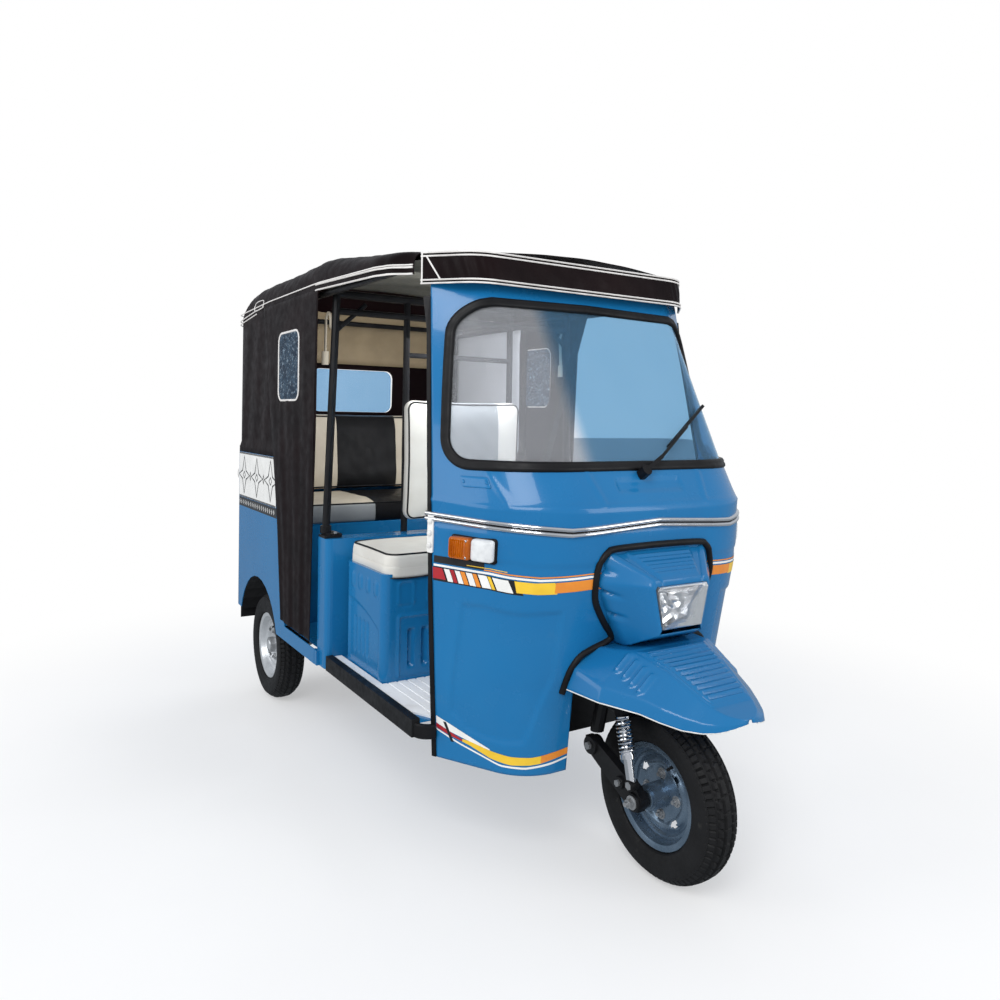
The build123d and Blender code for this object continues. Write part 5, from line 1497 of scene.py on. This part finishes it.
# ---------------------------------------------------------------- post feet, strap and door trim
feet, bolts, straps = [], [], []
post_x = FX - 1.200
for side in (-1, 1):
    foot_y = side * 0.562
    plate_y = foot_y - side * 0.018
    feet.append(bar((post_x - 0.030, plate_y, 0.8415), (post_x + 0.052, plate_y, 0.8415), (0.052, 0.010), 0.3))
    feet.append(tube_mesh([(post_x, foot_y, 0.845), (post_x, foot_y, 0.872)], 0.0205, 18))
    for x in (post_x - 0.022, post_x + 0.043):
        bolts.append(tube_mesh([(x, foot_y - side * 0.022, 0.845), (x, foot_y - side * 0.022, 0.853)], 0.0065, 6))
    hook, buckle, tongue = ((FX - 1.262, side * 0.548, 1.640), (FX - 1.256, side * 0.552, 1.520),
                            (FX - 1.222, side * 0.544, 1.612))
    strap = smooth_line([hook, (FX - 1.244, side * 0.546, 1.664), (FX - 1.226, side * 0.544, 1.650),
                         (FX - 1.222, side * 0.544, 1.610)], 0.006)
    straps.append(tube_mesh(strap, 0.0055, 8))
    straps.append(bar(hook, (FX - 1.256, side * 0.552, 1.505), (0.016, 0.005), 0.3, up=(0, 1, 0)))
    straps.append(tube_mesh([buckle, (FX - 1.256, side * 0.552, 1.470)], 0.013, 12))
    straps.append(bar(tongue, (FX - 1.196, side * 0.541, 1.600), (0.014, 0.008), 0.3, up=(0, 1, 0)))
merged("post_feet", feet, "steel_black", smooth=40)
merged("post_bolts", bolts, "alloy", smooth=30)
merged("strap_hooks", straps, "cream_vinyl", smooth=50)

# ---------------------------------------------------------------- handlebar grips and levers
controls = []
for side in (-1, 1):
    a, b = Vector((FX - 0.328, side * 0.310, 1.0345)), Vector((FX - 0.268, side * 0.150, 1.0565))
    controls.append(tube_mesh([a, a.lerp(b, 0.1), a.lerp(b, 0.72), a.lerp(b, 0.74)], 0.0175, 16))
    controls.append(tube_mesh([b.lerp(a, 0.2), b.lerp(a, 0.05)], 0.022, 16))
    lever = smooth_line([b.lerp(a, 0.12) + Vector((0.02, 0, 0.0)), b.lerp(a, 0.4) + Vector((0.055, 0, -0.004)),
                         a + Vector((0.050, 0, -0.004))], 0.01)
    controls.append(tube_mesh(lever, 0.0055, 8, flat=0.6))
merged("handlebar_controls", controls, "rubber", "steering", smooth=40)

# ---------------------------------------------------------------- driver's seat box
def box_frame(u, v, cu, cv, half_u, half_v, edge=0.007):
    """1 inside a rounded rectangle on a wall and 0 outside, with a soft edge."""
    du = np.abs(u - cu) - half_u
    dv = np.abs(v - cv) - half_v
    gap = np.sqrt(np.maximum(du + 0.012, 0) ** 2 + np.maximum(dv + 0.012, 0) ** 2) - 0.012
    return ease(0.5 - gap / edge)


def seat_box_skin():
    """The driver's seat box, with its pressed panels, arches and louvres."""
    x0, x1, half, radius = FX - 1.078, FX - 0.752, 0.528, 0.030
    corners = rounded_box((x0 + x1) / 2, 0.0, x1 - x0, 2 * half, radius, 8)
    line = []
    for k, p in enumerate(corners):
        q = corners[(k + 1) % len(corners)]
        parts = max(1, int(math.dist(p, q) / 0.0052))
        line.extend((p[0] + (q[0] - p[0]) * s / parts, p[1] + (q[1] - p[1]) * s / parts) for s in range(parts))
    line = np.array(line)
    heights = np.linspace(0.4003, 0.7625, 72)
    x, z = np.meshgrid(line[:, 0], heights)
    y = np.repeat(line[None, :, 1], len(heights), 0)
    lift = np.zeros_like(x)
    on_side = (np.abs(y) > half - 0.001)
    on_front = (x > x1 - 0.001)
    rel = x - FX
    for cx in (-1.010, -0.945, -0.880, -0.815):
        lift += on_side * 0.0040 * box_frame(rel, z, cx, 0.706, 0.014, 0.024, 0.010)
    arch = 0.622 - 0.9 * (rel + 0.925) ** 2 - 0.25 * (rel + 0.925)
    lift -= on_side * 0.0045 * ease((arch - z) / 0.006) * box_frame(rel, z, -0.920, 0.50, 0.125, 0.16)
    for cx in (-0.995, -0.960, -0.925, -0.890):
        lift -= on_side * 0.0060 * box_frame(rel, z, cx, 0.515, 0.006, 0.062, 0.012)
    side_y = np.abs(y)
    for cy in (0.0, 0.114, 0.228, 0.337, 0.446):
        rim_band = box_frame(side_y, z, cy, 0.697, 0.031, 0.042) - box_frame(side_y, z, cy, 0.692, 0.025, 0.041)
        lift += on_front * 0.0040 * rim_band
    for cy in (0.0, 0.325):
        rim_band = box_frame(side_y, z, cy, 0.520, 0.153, 0.105) - box_frame(side_y, z, cy, 0.514, 0.145, 0.104)
        lift += on_front * 0.0050 * rim_band
        for step in (-0.102, -0.051, 0.0, 0.051, 0.102):
            lift -= on_front * 0.015 * box_frame(side_y, z, cy + step, 0.512, 0.009, 0.064, 0.010)
    middle = np.array([(x0 + x1) / 2, 0])
    inner_x = np.clip(x, x0 + radius, x1 - radius)
    inner_y = np.clip(y, -half + radius, half - radius)
    nx, ny = x - inner_x, y - inner_y
    size = np.sqrt(nx ** 2 + ny ** 2) + 1e-9
    grid = np.stack([x + nx / size * lift, y + ny / size * lift, z], -1)
    lid = [middle + (line - middle) * s for s in (0.97, 0.5, 0.02)]
    rows = list(grid) + [np.concatenate([ring, np.full((len(ring), 1), 0.7624)], 1) for ring in lid]
    skin = grid_mesh(rows, wrap_columns=True)
    piece("seat_box_skin", *skin, "paint", smooth=45, stands_for=["driver_seat_box"])


seat_box_skin()

# ---------------------------------------------------------------- sill ends, rail ends and side linings
SILL_SECTION = [(-0.009, -0.017), (-0.005, -0.021), (0.005, -0.021), (0.009, -0.017), (0.009, 0.017), (0.005, 0.021),
                (-0.005, 0.021), (-0.009, 0.017)]
sills, rail_ends = [], []
for side in (-1, 1):
    path = smooth_line([(FX - 0.450, side * 0.5780, 0.379), (FX - 0.419, side * 0.5735, 0.378),
                        (FX - 0.405, side * 0.556, 0.374), (FX - 0.404, side * 0.521, 0.368)], 0.006)
    rings = []
    for k, p in enumerate(path):
        ahead = path[min(k + 1, len(path) - 1)] - path[max(k - 1, 0)]
        out = Vector((ahead.y, -ahead.x, 0)).normalized()
        rings.extend(tuple(p + out * o + Vector((0, 0, h))) for o, h in SILL_SECTION)
    size = (len(path), len(SILL_SECTION))
    sills.append((rings, grid_faces(*size, wrap_columns=True) + end_caps(*size)))
    rail_ends.append(bar((-0.188, side * 0.5925, 0.3845), (-0.150, side * 0.5925, 0.3845), (0.0135, 0.054), 0.1))
merged("sill_front_ends", sills, "rubber", smooth=40)
merged("side_rail_ends", rail_ends, "paint", smooth=40)
# Side linings of the rear cabin, pale blue-grey: beige lining lightened with the painted reflection seen over it
# through the windscreen.
for side, tag in SIDES:
    rows = [[(FX - back, side * 0.5905, z) for back in np.linspace(1.640, 2.255, 30)]
            for z in np.linspace(1.115, 1.715, 24)]
    lining_sheet("side_lining_" + tag, rows, "pale_lining", 0.002)

# ---------------------------------------------------------------- headlamp inside
REFLECTOR = [(0.046, 0.93), (0.030, 0.90), (0.024, 0.72), (0.021, 0.50), (0.020, 0.30), (0.020, 0.05)]
reflector = [lamp_ring(depth, share)[::6] for depth, share in REFLECTOR]
piece("headlamp_reflector", *grid_mesh(reflector, wrap_columns=True), "chrome", smooth=12)
bowls = []
for y in (-0.038, 0.038):
    rings = []
    for x, r in ((0.022, 0.030), (0.030, 0.032), (0.034, 0.027), (0.028, 0.015), (0.036, 0.008), (0.040, 0.001)):
        angles = [2 * math.pi * k / 14 for k in range(14)]
        rings.append([(FX + x, y + r * math.cos(angle), 0.778 + r * math.sin(angle)) for angle in angles])
    bowls.append(grid_mesh(rings, wrap_columns=True))
merged("headlamp_bowls", bowls, "chrome", smooth=10)

# ---------------------------------------------------------------- floor and view transform
floor_mesh = bpy.data.meshes.new("floor")
floor_mesh.from_pydata([(-40, -40, 0), (40, -40, 0), (40, 40, 0), (-40, 40, 0)], [], [(0, 1, 2, 3)])
floor = bpy.data.objects.new("floor", floor_mesh)
scene_root.link(floor)
floor_tree = surface("floor", None, (0.93, 0.93, 0.93), (0.91, 0.91, 0.91), 2, (0.7, 0.85), Specular_IOR_Level=0.1)
floor_mesh.materials.append(materials["floor"])
# It fades to plain white away from the car, and mirrors in the paint as a mid grey.
reach = shader_node(floor_tree, "VectorMath", {0: shader_node(floor_tree, "TexCoord").outputs["Object"]},
                    operation="LENGTH")
fade = shader_node(floor_tree, "MapRange", {0: reach.outputs["Value"], 1: 1.3, 2: 3.0, 3: 0.42},
                   interpolation_type="SMOOTHSTEP")
floor_mix = shader_node(floor_tree, "MixShader", {0: fade.outputs[0], 1: floor_tree.nodes["Principled BSDF"].outputs[0],
                                                  2: shader_node(floor_tree, "Emission").outputs[0]})
mirrored = shader_node(floor_tree, "Emission", {0: (0.30, 0.33, 0.36, 1)})
floor_last = shader_node(floor_tree, "MixShader", {0: shader_node(floor_tree, "LightPath").outputs["Is Glossy Ray"],
                                                   1: floor_mix.outputs[0], 2: mirrored.outputs[0]})
floor_tree.links.new(floor_last.outputs[0], floor_tree.nodes["Material Output"].inputs[0])
bpy.context.scene.view_settings.view_transform = "Standard"
